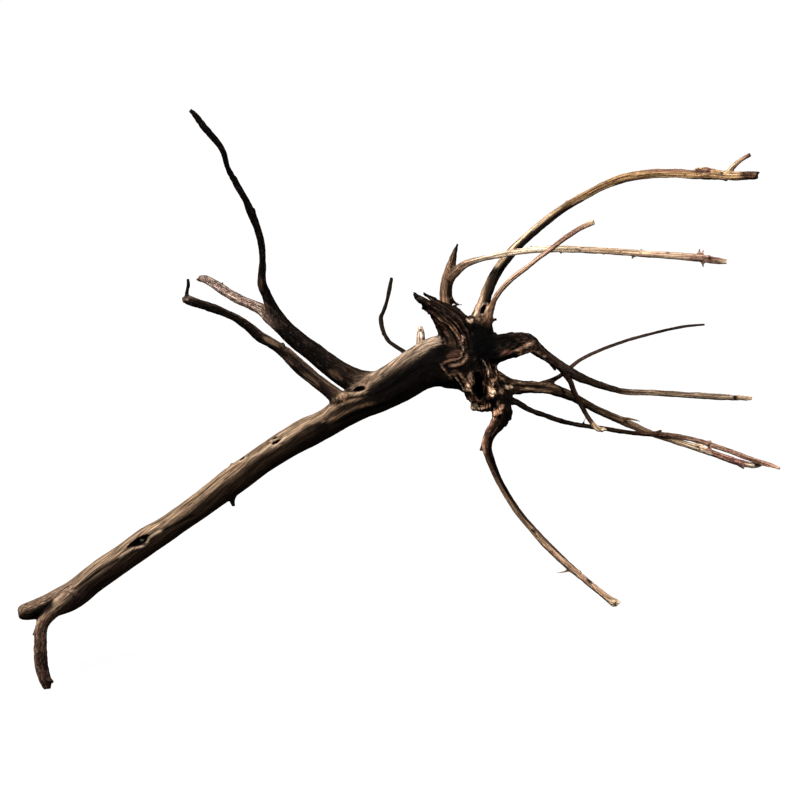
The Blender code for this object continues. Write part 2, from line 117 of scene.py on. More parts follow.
THIRD_BRANCH = [
    (-96, 291, -9, 5.0), (-104, 298.5, -10, 5.4), (-111, 304.5, -12, 4.4),
    (-118, 308, -15, 3.9), (-127, 311.5, -21, 3.9), (-136, 316.5, -28, 3.8),
    (-145, 322.5, -36, 3.6), (-154, 328, -44, 3.2), (-160, 329.3, -48, 2.2),
]

SECOND_BRANCH = [
    (-38, 227, 0, 8.0), (-48, 232.2, 4, 7.0), (-57, 239.9, 8, 5.7), (-70, 250.3, 13, 5.5),
    (-80, 258.6, 17, 5.5), (-89, 267.2, 20, 5.4), (-96, 273, 23, 4.3), (-104, 278, 27, 4.1),
    (-112, 282.8, 31, 4.2), (-120, 289.3, 35, 3.7), (-130, 296.6, 41, 3.3),
    (-140, 301.8, 47, 3.0), (-150, 305.6, 53, 3.6), (-160, 308.8, 59, 3.2),
    (-169, 311.8, 65, 3.5), (-173.6, 312.4, 68, 2.0),
]

BRANCH_TWIG = [
    (-168, 311, 64, 2.2), (-170.6, 316, 66, 1.5), (-170.3, 320, 68, 1.1),
    (-169.4, 324, 70, 1.3), (-169.8, 328.5, 72, 0.8),
]

WHIP = [
    (10, 262, -4, 2.6), (5, 268.4, -10, 2.2), (1.6, 271.6, -14, 1.7), (-3.2, 274.7, -17, 1.5),
    (-8.2, 278.2, -21, 1.4), (-11.5, 283.2, -25, 1.4), (-14, 289.2, -30, 1.5),
    (-15.2, 297.4, -35, 1.6), (-13.2, 303, -38, 1.3), (-10.7, 310.5, -42, 1.2),
    (-8.6, 319.5, -47, 1.5), (-6.8, 329.6, -52, 1.0),
]

BACK_STUB = [
    (16, 266, -8, 4.5), (16.5, 278, -14, 3.4), (16.5, 284, -18, 3.0), (16.6, 290, -22, 1.8),
]

BURL_STRANDS = [
    [
        (18.4, 317.2, 12, 0.6), (22, 315, 12, 1.1), (27, 312, 12, 2.2), (33, 307.5, 12, 3.5),
        (40, 303, 11, 4.6), (47, 297, 10, 5.6), (55, 288, 8, 6.5),
    ],
    [
        (12, 315, 19, 1.9), (16, 312.6, 19, 2.8), (21, 309.5, 19, 3.3), (27, 305.5, 18, 4.2),
        (34, 300, 17, 5.2), (41, 292, 15, 6.2), (49, 282, 12, 7.5), (56, 270, 10, 9.0),
    ],
    [
        (17.5, 306.5, 14, 2.0), (21.5, 305.6, 14, 2.5), (26, 302, 14, 3.2), (30.5, 296.5, 13, 4.6),
        (35.5, 290, 12, 6.2), (41, 282.5, 11, 8.0), (47, 274, 10, 9.0),
    ],
    [
        (42, 307, 4, 1.6), (46, 303.5, 4, 2.6), (49.5, 298.5, 4, 3.6), (54, 292, 4, 5.0),
        (59, 285, 4, 6.0),
    ],
]

BURL_SLIVER = [
    (40, 305.5, 4, 1.3), (44, 307.8, 3, 0.8), (50, 308.3, 2, 0.6),
]

UPRIGHT_STUB = [
    (47, 276, -5, 7.5), (41, 290, -8, 6.4), (37.5, 301, -10, 5.4), (36.8, 311, -11, 4.9),
    (36.8, 319, -11, 4.8), (38, 327, -11, 4.8), (39.8, 335, -11, 4.3), (41.6, 342, -10, 3.2),
    (43.4, 348.5, -9, 2.1), (45, 353.5, -8, 1.2), (46, 357, -7, 0.5),
]

THORNY_ROOT = [
    (39.5, 329, -9, 3.6), (44.5, 334.3, -7, 3.6), (50, 339.2, -4, 3.1), (56, 342.2, -1, 2.5),
    (64, 344.6, 2, 2.2), (72, 346.5, 5, 2.1), (80, 348.1, 8, 2.2), (90, 350, 10, 2.2),
    (105, 351.9, 11, 2.3), (122, 352.8, 10, 2.6), (140, 352.4, 6, 2.5), (160, 351.5, 0, 2.4),
    (180, 350.2, -8, 2.5), (200, 348.6, -16, 2.5), (220, 347.3, -25, 2.7), (236, 345.9, -32, 3.0),
    (247, 344.4, -38, 2.7), (256, 343.2, -42, 2.4), (260.8, 343, -44, 2.0),
]

ARCH_ROOT = [
    (59, 283, 1, 8.0), (60.8, 292, 0, 6.8), (63.2, 300, -2, 5.8), (67.2, 309.8, -5, 4.8),
    (70.4, 319.7, -8, 4.5), (74.6, 329.6, -11, 4.2), (80.3, 339, -14, 4.0), (87.1, 347.6, -16, 3.8),
    (94.1, 355.1, -17, 3.6), (102, 362.6, -17, 3.4), (111, 370.4, -16, 3.4),
    (121, 378.4, -14, 3.3), (131, 385.4, -11, 3.2), (141, 391.5, -8, 3.0),
    (151, 397.3, -4, 2.9), (161, 402.4, 0, 2.9), (171, 406.6, 5, 3.2), (182, 410, 12, 3.5),
    (200, 412.8, 24, 3.5), (220, 413.3, 36, 3.4), (236, 412.5, 45, 3.5), (245.5, 413.1, 50, 4.5),
    (254.5, 412.1, 54, 3.7), (264.5, 411.3, 59, 3.3), (275.5, 411.5, 63, 3.3),
    (285.8, 411.7, 67, 2.6),
]

ARCH_TWIG = [
    (258, 411, 56, 2.6), (263.5, 415, 59, 2.2), (267.5, 419.4, 62, 1.8), (273, 424, 65, 1.6),
    (280, 428.2, 69, 1.4),
]

FRONT_ROOT = [
    (68, 290, 4, 5.2), (70.2, 297, 5, 4.0), (72, 303.4, 7, 3.1), (74.3, 309.2, 10, 2.4),
    (77, 314.6, 13, 2.0), (80.8, 319.9, 16, 1.9), (86.4, 325.9, 19, 1.9), (93.4, 332, 22, 1.9),
    (100.4, 337.3, 24, 1.8), (109.4, 344.3, 26, 1.7), (118.4, 351.1, 28, 1.8),
    (129.4, 359.6, 30, 1.8), (140.3, 366.9, 33, 1.8), (149.3, 371.9, 36, 1.9),
    (155.2, 374.4, 38, 1.8),
]

FRONT_STUB = [
    (67, 291, 4, 2.6), (72, 294.3, 6, 1.5), (77.3, 297, 8, 1.2),
]

THICK_ROOT = [
    (62, 272, 3, 14.0), (72, 273, 6, 12.0), (80, 273.4, 8, 11.2), (90, 275.8, 9, 9.8),
    (99, 277, 8, 8.7), (104.5, 276.2, 6, 7.1), (109, 273.2, 3, 5.2), (116, 267.8, -4, 4.1),
    (124, 262.4, -13, 3.7), (132, 257, -22, 3.7), (141, 251.6, -32, 3.7),
    (150, 247.6, -41, 3.1), (160, 244, -50, 2.7), (170, 241, -58, 2.4),
    (180, 238.8, -66, 2.1), (200, 237.9, -81, 2.2), (220, 236.7, -96, 2.2),
    (240, 235.4, -111, 2.3), (258, 234.2, -124, 2.3), (270, 233.7, -131, 1.9),
    (281, 233.4, -138, 1.5),
]

FORKED_ROOT = [
    (127, 260, -18, 2.6), (132, 253, -22, 2.5), (136.4, 246.5, -24, 2.2),
    (138.6, 240.5, -26, 2.0), (143, 231.5, -30, 1.9), (148, 222.3, -34, 1.8),
    (153, 214.6, -38, 1.8), (158.4, 208.9, -41, 1.9), (162.5, 207.6, -43, 1.2),
]

MIDDLE_ROOT = [
    (66, 247, 2, 10.0), (78, 245.5, 1, 8.6), (89, 243, -2, 6.4), (99, 242.5, -9, 5.0),
    (110, 242, -18, 4.5), (119, 241.4, -27, 4.6), (128, 238.6, -38, 4.3), (137, 235, -52, 3.6),
    (146.5, 230, -68, 3.1), (155.5, 225.3, -85, 3.0), (165.5, 220.5, -102, 3.0),
    (175.5, 216.2, -120, 3.0), (185.6, 211.7, -138, 2.9), (195.8, 207.3, -155, 2.4),
    (206, 203.4, -171, 2.1), (217, 200.1, -188, 2.2), (229, 196.3, -206, 2.4),
    (241, 192.4, -226, 2.5), (252, 188.7, -245, 2.4), (262, 185, -262, 2.6),
    (272, 181.8, -277, 2.5), (281, 179.9, -291, 2.2), (288, 179.8, -299, 1.6),
]

RISING_ROOT = [
    (113, 244, -24, 3.0), (119.4, 246.6, -29, 2.2), (125, 249.4, -34, 1.7),
    (130.6, 253.2, -39, 1.5), (136.8, 258.4, -45, 1.5), (142.8, 263.2, -50, 1.3),
    (151.8, 268.2, -57, 1.2), (161.8, 272.5, -65, 1.1), (171.8, 276.4, -73, 1.1),
    (181.8, 279.8, -80, 1.1), (193.8, 283.1, -88, 1.0), (206.8, 286.4, -96, 0.9),
    (221.8, 289.8, -104, 0.9), (232.8, 291.5, -109, 0.8), (243.4, 292.3, -114, 0.6),
]

CROSSING_ROOT = [
    (70, 239, 2, 8.0), (82, 234.5, -1, 5.4), (89, 231.6, -5, 3.4), (95.2, 229.2, -10, 2.5),
    (101.4, 225.4, -17, 2.3), (108.4, 222.2, -25, 2.0), (116.4, 219.5, -36, 1.9),
    (125.4, 216.2, -48, 1.9), (135.4, 213.5, -61, 1.7), (147.4, 211.4, -77, 1.6),
    (160.4, 209.6, -94, 1.6), (172.6, 207.6, -111, 1.7), (184.7, 205.8, -129, 1.6),
    (196.8, 204.8, -148, 1.6), (208.8, 204.3, -168.5, 2.0), (220, 203, -188, 2.0),
    (232, 200.9, -208, 1.9), (243, 197.9, -227, 2.0), (254, 194.4, -246, 1.9),
    (265, 190.7, -265, 1.9), (276, 186.5, -281, 1.9), (286, 183, -292, 1.9),
    (293, 180.8, -298, 1.9), (298.3, 179.2, -297, 1.6), (303.8, 177.2, -293, 0.7),
]

LOWER_ROOT = [
    (76, 238, 4, 9.0), (80, 228, 3, 8.0), (81, 220.5, 2, 7.2), (78.5, 214, 0, 6.0),
    (75, 208.6, -2, 4.8), (71.6, 203.5, -4, 4.3), (69.7, 198.5, -6, 4.1), (69.5, 193.8, -8, 3.9),
    (70.8, 188.5, -11, 3.4), (73.8, 180, -16, 3.1), (78, 170, -22, 2.7), (83.3, 160, -29, 2.6),
    (89.3, 150, -37, 2.6), (96.4, 140, -46, 2.7), (104.8, 130, -55, 2.7),
    (113.6, 120, -64, 2.9), (123.6, 110, -73, 3.0), (134, 100, -81, 2.9),
    (140, 94.8, -86, 2.6), (148, 88.2, -91, 2.4), (156.5, 81.2, -96, 2.4),
    (164, 75.2, -100, 2.5), (170, 71, -104, 2.9), (173.6, 68.8, -106, 2.5),
]

# Small growths, each from a buried root to its tip

SPURS = [
    [(-134, 158, -4, 2.4), (-133.8, 151, -4, 1.7), (-133.2, 147, -4, 1.2)],
    [(-132, 176, -3, 1.6), (-135, 180.8, -3, 0.8)],
    [(-288, 48, 6, 2.4), (-292.6, 45.5, 7, 1.0), (-293.2, 43.8, 7, 0.5)],
    [(-283, 9, 0, 2.4), (-279, 7, 1, 1.6), (-277.2, 6, 1, 0.7)],
    [(82, 224, 3, 4.2), (87, 219, 3, 2.4), (88.4, 216, 3, 0.9)],
    [(80, 218, 2, 3.6), (84, 213.5, 2, 2.2), (84.4, 210.6, 2, 0.8)],
    [(77, 213, 0, 3.0), (79.6, 210, 0, 1.9), (80.4, 207.8, 0, 0.7)],
    [(84, 227, 3, 4.0), (88, 223.5, 3, 2.2), (89.2, 221, 3, 0.9)],
    [(68.5, 196, -7, 2.2), (65.4, 193, -7, 1.3), (64.2, 191.4, -7, 0.6)],
    [(70, 258, 4, 3.4), (75.4, 257.4, 6, 1.6), (77.4, 256.6, 7, 0.6)],
    [(70, 254, 4, 3.4), (75.6, 255, 7, 1.6), (77.6, 254.6, 8, 0.6)],
    [(57, 290, 2, 3.8), (56, 296, 4, 2.4), (56.4, 299.6, 5, 1.1)],
    [(121, 262, -14, 2.4), (123.6, 257, -14, 1.0), (123.8, 255.6, -14, 0.4)],
]

# Knobs: across, up, toward the eye, radius

KNOBS = [
    (74.4, 245.5, 15.5, 2.9), (71.4, 242, 15.5, 2.4), (75, 239, 16, 3.0),
    (73, 234.4, 14.5, 2.6), (78.6, 229, 10, 3.0), (80.6, 225.4, 8.5, 2.6),
    (76.6, 222, 8, 2.8), (60.4, 227, 5, 4.2), (65.4, 226, 6, 4.1), (70.4, 226, 7, 3.9),
    (87.3, 242.6, 4, 2.8), (245, 416, 51, 2.4), (-27.5, 243, 13.5, 2.2),
    (-45, 233, 10, 5.0),
]

# Hollows: middle across, up, toward the eye, half length, half width, depth, turn in degrees

HOLLOWS = [
    (-209.5, 118.6, 7.0, 10.5, 3.4, 6.0, 30.0),
    (-99, 198.4, 9.4, 4.4, 1.7, 3.6, 22.0),
    (-126, 185.2, 6.8, 3.4, 1.1, 3.0, 40.0),
    (-33, 240.6, 16.4, 5.6, 2.6, 8.5, 8.0),
    (62.6, 242.5, 18.8, 12.5, 4.3, 12.0, 94.0),
    (67.2, 305.2, 3.4, 4.3, 2.1, 4.2, 66.0),
]

# Thorns of the thorny root: where they stand, how many, their shape and the turn between them

THORN_SPAN = (100.0, 250.0)
THORN_COUNT = 22
THORN_LENGTH = 3.3
THORN_LENGTH_CHANGE = 0.7
THORN_LENGTH_STEP = 2.1
THORN_LEAN = 0.5
THORN_LEAN_STEP = 1.3
THORN_BEND_AT = 0.62
THORN_RADII = (1.5, 0.7, 0.2)
THORN_TURN = math.radians(137.5)

# Splinters: the limb each stands on, how far ahead of its middle, then across, up and radius

SPLINTERS = [
    ("thorny_root", 0, [(238.4, 346, 1.8), (239.4, 350.4, 0.8), (239.8, 353, 0.1)]),
    ("thorny_root", 0, [(240.4, 346, 1.6), (242, 350.2, 0.6), (242.8, 352, 0.1)]),
    ("thorny_root", 0, [(242, 345, 1.8), (242.4, 340.6, 0.8), (242.6, 338.4, 0.1)]),
    ("thorny_root", 0, [(188, 349, 1.6), (186.4, 346.4, 0.6), (185.4, 345, 0.1)]),
    ("arch_root", 0, [(280, 412.6, 2.0), (285, 413.6, 1.1), (287.6, 414.2, 0.3)]),
    ("arch_root", 1, [(280, 410.8, 2.0), (284, 409.6, 1.2), (286.6, 409.4, 0.3)]),
    ("arch_root", 0, [(260, 411, 2.6), (261, 407.8, 1.2), (261.2, 407, 0.3)]),
    ("arch_root", 0, [(246, 414, 3.0), (240.4, 416.6, 1.4), (236, 416.8, 0.4)]),
    ("arch_root", 0, [(135, 388, 2.2), (133.6, 390.4, 1.1), (133, 391.2, 0.3)]),
    ("arch_root", 0, [(63, 300, 3.4), (58.6, 297.8, 2.2), (56, 296.8, 1.1)]),
    ("lower_root", 0, [(137, 97, 1.2), (131, 94.6, 0.36), (125.2, 93.7, 0.1)]),
    ("lower_root", 0, [(142, 94, 1.6), (144.4, 94.6, 0.7), (145, 95, 0.2)]),
    ("lower_root", 1, [(171, 70.4, 2.4), (175.4, 70.4, 1.2), (176.4, 70.6, 0.5)]),
    ("lower_root", 0, [(170, 69.6, 2.4), (171.6, 66.6, 1.4), (172.6, 65.6, 0.6)]),
    ("middle_root", 0, [(176, 216.6, 2.0), (184, 216.9, 0.7), (192.2, 214.9, 0.15)]),
    ("middle_root", 0, [(234, 195.6, 1.8), (240, 196, 0.6), (243, 195, 0.3)]),
    ("middle_root", 0, [(272, 181, 2.0), (274.6, 177.8, 1.0), (275, 176.8, 0.3)]),
    ("crossing_root", 0, [(204, 204.8, 1.8), (207.6, 207, 0.9), (209.4, 207.6, 0.3)]),
    ("crossing_root", 0, [(245, 197.2, 1.9), (248.4, 198.8, 1.0), (249.2, 199.2, 0.4)]),
    ("crossing_root", 0, [(247.4, 196.4, 1.8), (248.2, 193.6, 1.1), (248.4, 191.2, 1.0)]),
    ("crossing_root", 0, [(146.4, 211.6, 1.2), (147, 214.6, 0.3), (148.4, 217.4, 0.1)]),
    ("crossing_root", 0, [(286, 183, 1.8), (284.6, 179.8, 0.9), (284, 178.8, 0.3)]),
    ("forked_root", 0, [(160.4, 208.4, 1.6), (163.8, 208.8, 0.9), (164.8, 207.6, 0.4)]),
    ("thick_root", 0, [(86, 278, 6.6), (88.6, 284, 2.6), (90.4, 286.4, 1.2)]),
    ("thick_root", 2, [(101, 279, 5.4), (103, 282.6, 2.6), (105, 284, 1.0)]),
    ("burl_strand_1", 1, [(27, 304.4, 3.0), (23.4, 301.8, 1.6), (21.6, 301.2, 0.5)]),
    ("burl_strand_2", 1, [(30, 297, 3.6), (27.4, 295.4, 1.8), (26.8, 294.4, 0.8)]),
    ("burl_strand_0", 0, [(33, 308, 2.6), (32.4, 310.8, 1.2), (32, 311.8, 0.4)]),
    ("burl_strand_1", 0, [(14, 313.6, 2.2), (11.4, 317, 1.2), (10.8, 318, 0.4)]),
    ("upright_stub", 0, [(41, 312, 2.6), (44.6, 309.6, 0.6), (47, 308.4, 0.2)]),
    ("left_branch", 0, [(-119, 382, 2.6), (-117, 384.6, 1.8), (-116.6, 385.6, 1.0)]),
    ("second_branch", 0, [(-152, 306.6, 2.8), (-153.4, 303.6, 1.0), (-153.6, 302.6, 0.4)]),
    ("second_branch", 0, [(-96, 273.6, 3.4), (-93.6, 276.4, 1.6), (-92.6, 277.4, 0.8)]),
    ("third_branch", 0, [(-146, 322, 2.6), (-142.6, 324.6, 0.7), (-141.2, 326.6, 0.2)]),
    ("third_branch", 0, [(-158, 329, 2.2), (-161.8, 328.6, 1.2), (-162.6, 327.6, 0.5)]),
    ("whip", 0, [(-12, 284, 1.3), (-13.6, 284.8, 0.9), (-14.4, 285.4, 0.4)]),
    ("foot", 0, [(-284, 10, 3.0), (-280, 7.6, 1.6), (-278.4, 6.4, 0.8)]),
    ("foot", 2, [(-289, 32, 3.6), (-292, 34, 1.6), (-292.4, 35, 0.6)]),
]

# How finely each limb is drawn: its stations, sides and ring spacing

LIMBS = {
    "trunk": (TRUNK, 64, 1.5),
    "crown": (CROWN, 92, 1.1),
    "foot": (FOOT, 34, 1.1),
    "left_branch": (LEFT_BRANCH, 40, 1.3),
    "third_branch": (THIRD_BRANCH, 22, 1.3),
    "second_branch": (SECOND_BRANCH, 30, 1.2),
    "branch_twig": (BRANCH_TWIG, 10, 1.2),
    "whip": (WHIP, 10, 1.4),
    "back_stub": (BACK_STUB, 16, 1.2),
    "burl_strand_0": (BURL_STRANDS[0], 30, 1.05),
    "burl_strand_1": (BURL_STRANDS[1], 34, 1.05),
    "burl_strand_2": (BURL_STRANDS[2], 36, 1.05),
    "burl_strand_3": (BURL_STRANDS[3], 26, 1.05),
    "burl_sliver": (BURL_SLIVER, 8, 1.2),
    "upright_stub": (UPRIGHT_STUB, 28, 1.1),
    "thorny_root": (THORNY_ROOT, 16, 1.3),
    "arch_root": (ARCH_ROOT, 22, 1.3),
    "arch_twig": (ARCH_TWIG, 12, 1.2),
    "front_root": (FRONT_ROOT, 14, 1.3),
    "front_stub": (FRONT_STUB, 10, 1.2),
    "thick_root": (THICK_ROOT, 34, 1.3),
    "forked_root": (FORKED_ROOT, 14, 1.3),
    "middle_root": (MIDDLE_ROOT, 22, 1.4),
    "rising_root": (RISING_ROOT, 10, 1.5),
    "crossing_root": (CROSSING_ROOT, 14, 1.5),
    "lower_root": (LOWER_ROOT, 20, 1.2),
}
GROWTH_SPACING = 1.2
GROWTH_SIDES = 12
THORN_SIDES = 8

# How softly a limb joins the others, as a share of its radius

CREASES = {
    "foot": 0.1, "back_stub": 0.12, "whip": 0.15, "second_branch": 0.16, "burl_strand_0": 0.12,
    "burl_strand_1": 0.12, "burl_strand_2": 0.14, "burl_strand_3": 0.12, "thick_root": 0.18,
}
USUAL_CREASE = 0.26
SHARPEST_CREASE = 0.3
SOFTEST_CREASE = 2.6
KNOB_CREASE = 0.45

# How far all limbs stand proud, their thinnest tip, and the rings on their ends

STANDS_PROUD = 0.3
THINNEST = 0.12
END_RINGS = (0.35, 0.7)

# A direction that no limb starts along, and how many points are measured at once

OFF_AXIS = (0.1, -0.9, 0.4)
BATCH = 4000

# Placing: a station slides along its line of sight


def placed(drawn):
    """Points in millimetres, from rows of across, up and toward the eye."""
    across, up, toward = drawn[:, 0], drawn[:, 1], drawn[:, 2]
    shrink = (EYE_DISTANCE - toward) / EYE_DISTANCE
    lift = EYE_LEVEL + (up - EYE_LEVEL) * shrink
    back = lift * SINE - toward * COSINE
    high = lift * COSINE + toward * SINE
    return np.column_stack((across * shrink, back, high)) - FOOTPRINT_MIDDLE


def as_drawn(points):
    """Rows of across, up and toward the eye, from points in millimetres."""
    x, y, z = (points + FOOTPRINT_MIDDLE).T
    toward = z * SINE - y * COSINE
    shrink = (EYE_DISTANCE - toward) / EYE_DISTANCE
    lift = y * SINE + z * COSINE
    return np.column_stack((x / shrink, EYE_LEVEL + (lift - EYE_LEVEL) / shrink, toward))


def filled_in(stations, spacing):
    """The stations, with more on a Catmull-Rom curve where they stand further apart than spacing."""
    rows = np.array([stations[0], *stations, stations[-1]], float)
    filled = [rows[1]]
    for before, start, end, after in zip(rows, rows[1:], rows[2:], rows[3:]):
        steps = max(1, math.ceil(np.linalg.norm(end[:3] - start[:3]) / spacing))
        for share in np.arange(1, steps + 1) / steps:
            square, cube = share**2, share**3
            filled.append(
                (2 * cube - 3 * square + 1) * start
                + (cube - 2 * square + share) * (end - before) / 2
                + (3 * square - 2 * cube) * end
                + (cube - square) * (after - start) / 2
            )
    return np.array(filled)


class Limb:
    """A limb's centre line in millimetres, with its radius, its length so far and its frame.

    A splinter also has its share: how far along the limb that it stands on, for its colour.
    """

    def __init__(self, name, stations, spacing, share=None):
        rows = filled_in(stations, spacing)
        shrink = (EYE_DISTANCE - rows[:, 2]) / EYE_DISTANCE
        self.name = name
        self.share = share
        self.centre = placed(rows)
        self.radius = np.maximum(rows[:, 3] * shrink, THINNEST) + STANDS_PROUD
        steps = np.linalg.norm(np.diff(self.centre, axis=0), axis=1)
        self.along = np.concatenate(([0.0], np.cumsum(steps)))
        crease = CREASES.get(name, USUAL_CREASE)
        self.softness = np.clip(crease * self.radius, SHARPEST_CREASE, SOFTEST_CREASE)
        self.tangent = np.gradient(self.centre, self.along, axis=0)
        self.tangent /= np.linalg.norm(self.tangent, axis=1)[:, None]
        self.taper = np.gradient(self.radius, self.along)
        self.set_frame()

    def set_frame(self):
        """Side and over directions that turn with the centre line but never twist."""
        side = np.cross(self.tangent[0], OFF_AXIS)
        sides = []
        for tangent in self.tangent:
            side = side - tangent * side.dot(tangent)
            side /= np.linalg.norm(side)
            sides.append(side)
        self.side = np.array(sides)
        self.over = np.cross(self.tangent, self.side)

    def nearest(self, points):
        """For each point: the nearest sample, how far past it, and the offset from the centre line."""
        found = np.empty(len(points), int)
        for start in range(0, len(points), BATCH):
            gaps = points[start : start + BATCH, None, :] - self.centre[None, :, :]
            reach = np.einsum("ijk,ijk->ij", gaps, gaps)
            found[start : start + BATCH] = reach.argmin(axis=1)
        gap = points - self.centre[found]
        past = np.einsum("ij,ij->i", gap, self.tangent[found])
        return found, past, gap - past[:, None] * self.tangent[found]

    def distance(self, points):
        """Signed distance to the limb's wall or its end, with the sample and the outward direction."""
        found, past, offset = self.nearest(points)
        reach = np.linalg.norm(offset, axis=1)
        last = len(self.centre) - 1
        slack = np.where((found == 0) | (found == last), 0.0, past)
        wall = reach - (self.radius[found] + slack * self.taper[found])
        beyond = np.where(found == last, past, np.where(found == 0, -past, -np.inf))
        outward = offset / np.maximum(reach, TINY)[:, None]
        axis = self.tangent[found] * np.where(found == 0, -1.0, 1.0)[:, None]
        at_end = beyond > wall
        outward[at_end] = axis[at_end]
        return np.maximum(wall, beyond), found, outward


class Ball:
    """A knob, seen as a limb of one sample."""

    def __init__(self, name, spot):
        row = np.array([spot], float)
        self.name = name
        self.share = None
        self.centre = placed(row)
        self.radius = row[:, 3] * (EYE_DISTANCE - row[:, 2]) / EYE_DISTANCE
        self.softness = np.array([KNOB_CREASE])

    def distance(self, points):
        offset = points - self.centre[0]
        reach = np.linalg.norm(offset, axis=1)
        outward = offset / np.maximum(reach, TINY)[:, None]
        return reach - self.radius[0], np.zeros(len(points), int), outward


# Meshes


def link_to(collection, name, mesh):
    obj = bpy.data.objects.new(name, mesh)
    collection.objects.link(obj)
    return obj


def new_collection(name):
    collection = bpy.data.collections.new(name)
    bpy.context.scene.collection.children.link(collection)
    return collection


def rings_of(limb, sides):
    """Rings of points round the limb, with smaller ones on its two ends."""
    angles = np.arange(sides) * 2 * math.pi / sides
    cosines, sines = np.cos(angles)[:, None], np.sin(angles)[:, None]

    def ring(index, radius):
        return limb.centre[index] + radius * (cosines * limb.side[index] + sines * limb.over[index])

    last = len(limb.centre) - 1
    rings = [ring(0, share * limb.radius[0]) for share in END_RINGS]
    rings += [ring(index, limb.radius[index]) for index in range(last + 1)]
    rings += [ring(last, share * limb.radius[last]) for share in reversed(END_RINGS)]
    return rings


def tube(name, limb, sides, collection):
    """A closed tube round the limb's centre line."""
    rings = rings_of(limb, sides)
    vertices = np.concatenate([*rings, limb.centre[:1], limb.centre[-1:]]) * MM
    faces = []
    for row in range(len(rings) - 1):
        low, high = row * sides, (row + 1) * sides
        for column in range(sides):
            beside = (column + 1) % sides
            faces.append((low + column, low + beside, high + beside, high + column))
    first_hub = len(rings) * sides
    top = (len(rings) - 1) * sides
    for column in range(sides):
        beside = (column + 1) % sides
        faces.append((first_hub, beside, column))
        faces.append((first_hub + 1, top + column, top + beside))
    mesh = bpy.data.meshes.new(name)
    mesh.from_pydata(vertices.tolist(), [], faces)
    mesh.update()
    return link_to(collection, name, mesh)


def ellipsoid(name, middle, half_sizes, turn, collection, divisions):
    """A ball stretched to three half sizes, its first axis turned in the drawing plane."""
    shape = bmesh.new()
    bmesh.ops.create_icosphere(shape, subdivisions=divisions, radius=1.0)
    stretch = Matrix.Diagonal((*[half * MM for half in half_sizes], 1.0))
    lean = Matrix.Rotation(math.radians(90.0) - EYE_ELEVATION, 4, "X")
    place = Matrix.Translation(middle * MM) @ lean @ Matrix.Rotation(turn, 4, "Z") @ stretch
    bmesh.ops.transform(shape, matrix=place, verts=shape.verts)
    mesh = bpy.data.meshes.new(name)
    shape.to_mesh(mesh)
    shape.free()
    return link_to(collection, name, mesh)


def combine(obj, collection, operation):
    """One Boolean of the object with everything in a collection, which is then removed."""
    modifier = obj.modifiers.new(operation.title(), "BOOLEAN")
    modifier.operation = operation
    modifier.operand_type = "COLLECTION"
    modifier.collection = collection
    modifier.solver = "MANIFOLD"
    bpy.context.view_layer.update()
    graph = bpy.context.evaluated_depsgraph_get()
    mesh = bpy.data.meshes.new_from_object(obj.evaluated_get(graph))
    obj.modifiers.clear()
    obj.data = mesh
    for used in list(collection.objects):
        bpy.data.objects.remove(used)
    bpy.data.collections.remove(collection)


# How the limbs claim the points near them, with depths and distances in softnesses of the limb

CLAIM_REACH = 7.0
SMALLEST_CLAIM = 0.001
DEEPEST = 12.0
FURTHEST = 40.0

# Rounding the joints, in millimetres: the rounds, the longest step and the longest way

ROUNDS = 4
LONGEST_STEP = 0.8
LONGEST_WAY = 3.0
LEAST_SLOPE = 1e-3

# How finely the routes of thorns and splinters are followed, in millimetres, and how knobs and
# hollows are divided

THORN_ROUTE_SPACING = 4.0
SPLINTER_ROUTE_SPACING = 2.0
KNOB_DIVISIONS = 2
HOLLOW_DIVISIONS = 4

# The block below the surface, in metres

BLOCK_WIDTH = 1.2
BLOCK_HEIGHT = 0.1

# Growing the limbs into one mesh


def thorn_stations():
    """Short spines on the thorny root, each turned a golden angle further than the last."""
    start, end = THORN_SPAN
    route = filled_in(THORNY_ROOT, THORN_ROUTE_SPACING)
    thorns = []
    for index in range(THORN_COUNT):
        across = start + (end - start) * (index + 0.5) / THORN_COUNT
        base = route[np.abs(route[:, 0] - across).argmin(), :3]
        angle = index * THORN_TURN
        reach = THORN_LENGTH + THORN_LENGTH_CHANGE * math.sin(index * THORN_LENGTH_STEP)
        lean = THORN_LEAN * math.sin(index * THORN_LEAN_STEP)
        way = np.array((lean, reach * math.cos(angle), reach * math.sin(angle)))
        spots = (base, base + THORN_BEND_AT * way, base + way)
        thorns.append([(*spot, radius) for spot, radius in zip(spots, THORN_RADII)])
    return thorns


def splinters():
    """Short broken ends and spikes, which take depth and colour from the limb that they stand on."""
    limbs = []
    for name, ahead, line in SPLINTERS:
        route = filled_in(LIMBS[name][0], SPLINTER_ROUTE_SPACING)
        base = line[0]
        nearest = np.hypot(route[:, 0] - base[0], route[:, 1] - base[1]).argmin()
        toward = route[nearest, 2] + ahead
        rows = [(across, up, toward, radius) for across, up, radius in line]
        limbs.append(Limb(f"{name}_splinter", rows, GROWTH_SPACING, nearest / (len(route) - 1)))
    return limbs


def all_limbs():
    """Each limb with its number of sides, the trunk first."""
    limbs = [(Limb(name, rows, step), sides) for name, (rows, sides, step) in LIMBS.items()]
    for index, rows in enumerate(SPURS):
        limbs.append((Limb(f"spur_{index}", rows, GROWTH_SPACING), GROWTH_SIDES))
    for limb in splinters():
        limbs.append((limb, GROWTH_SIDES))
    for index, rows in enumerate(thorn_stations()):
        limbs.append((Limb(f"thorn_{index}", rows, GROWTH_SPACING), THORN_SIDES))
    return limbs


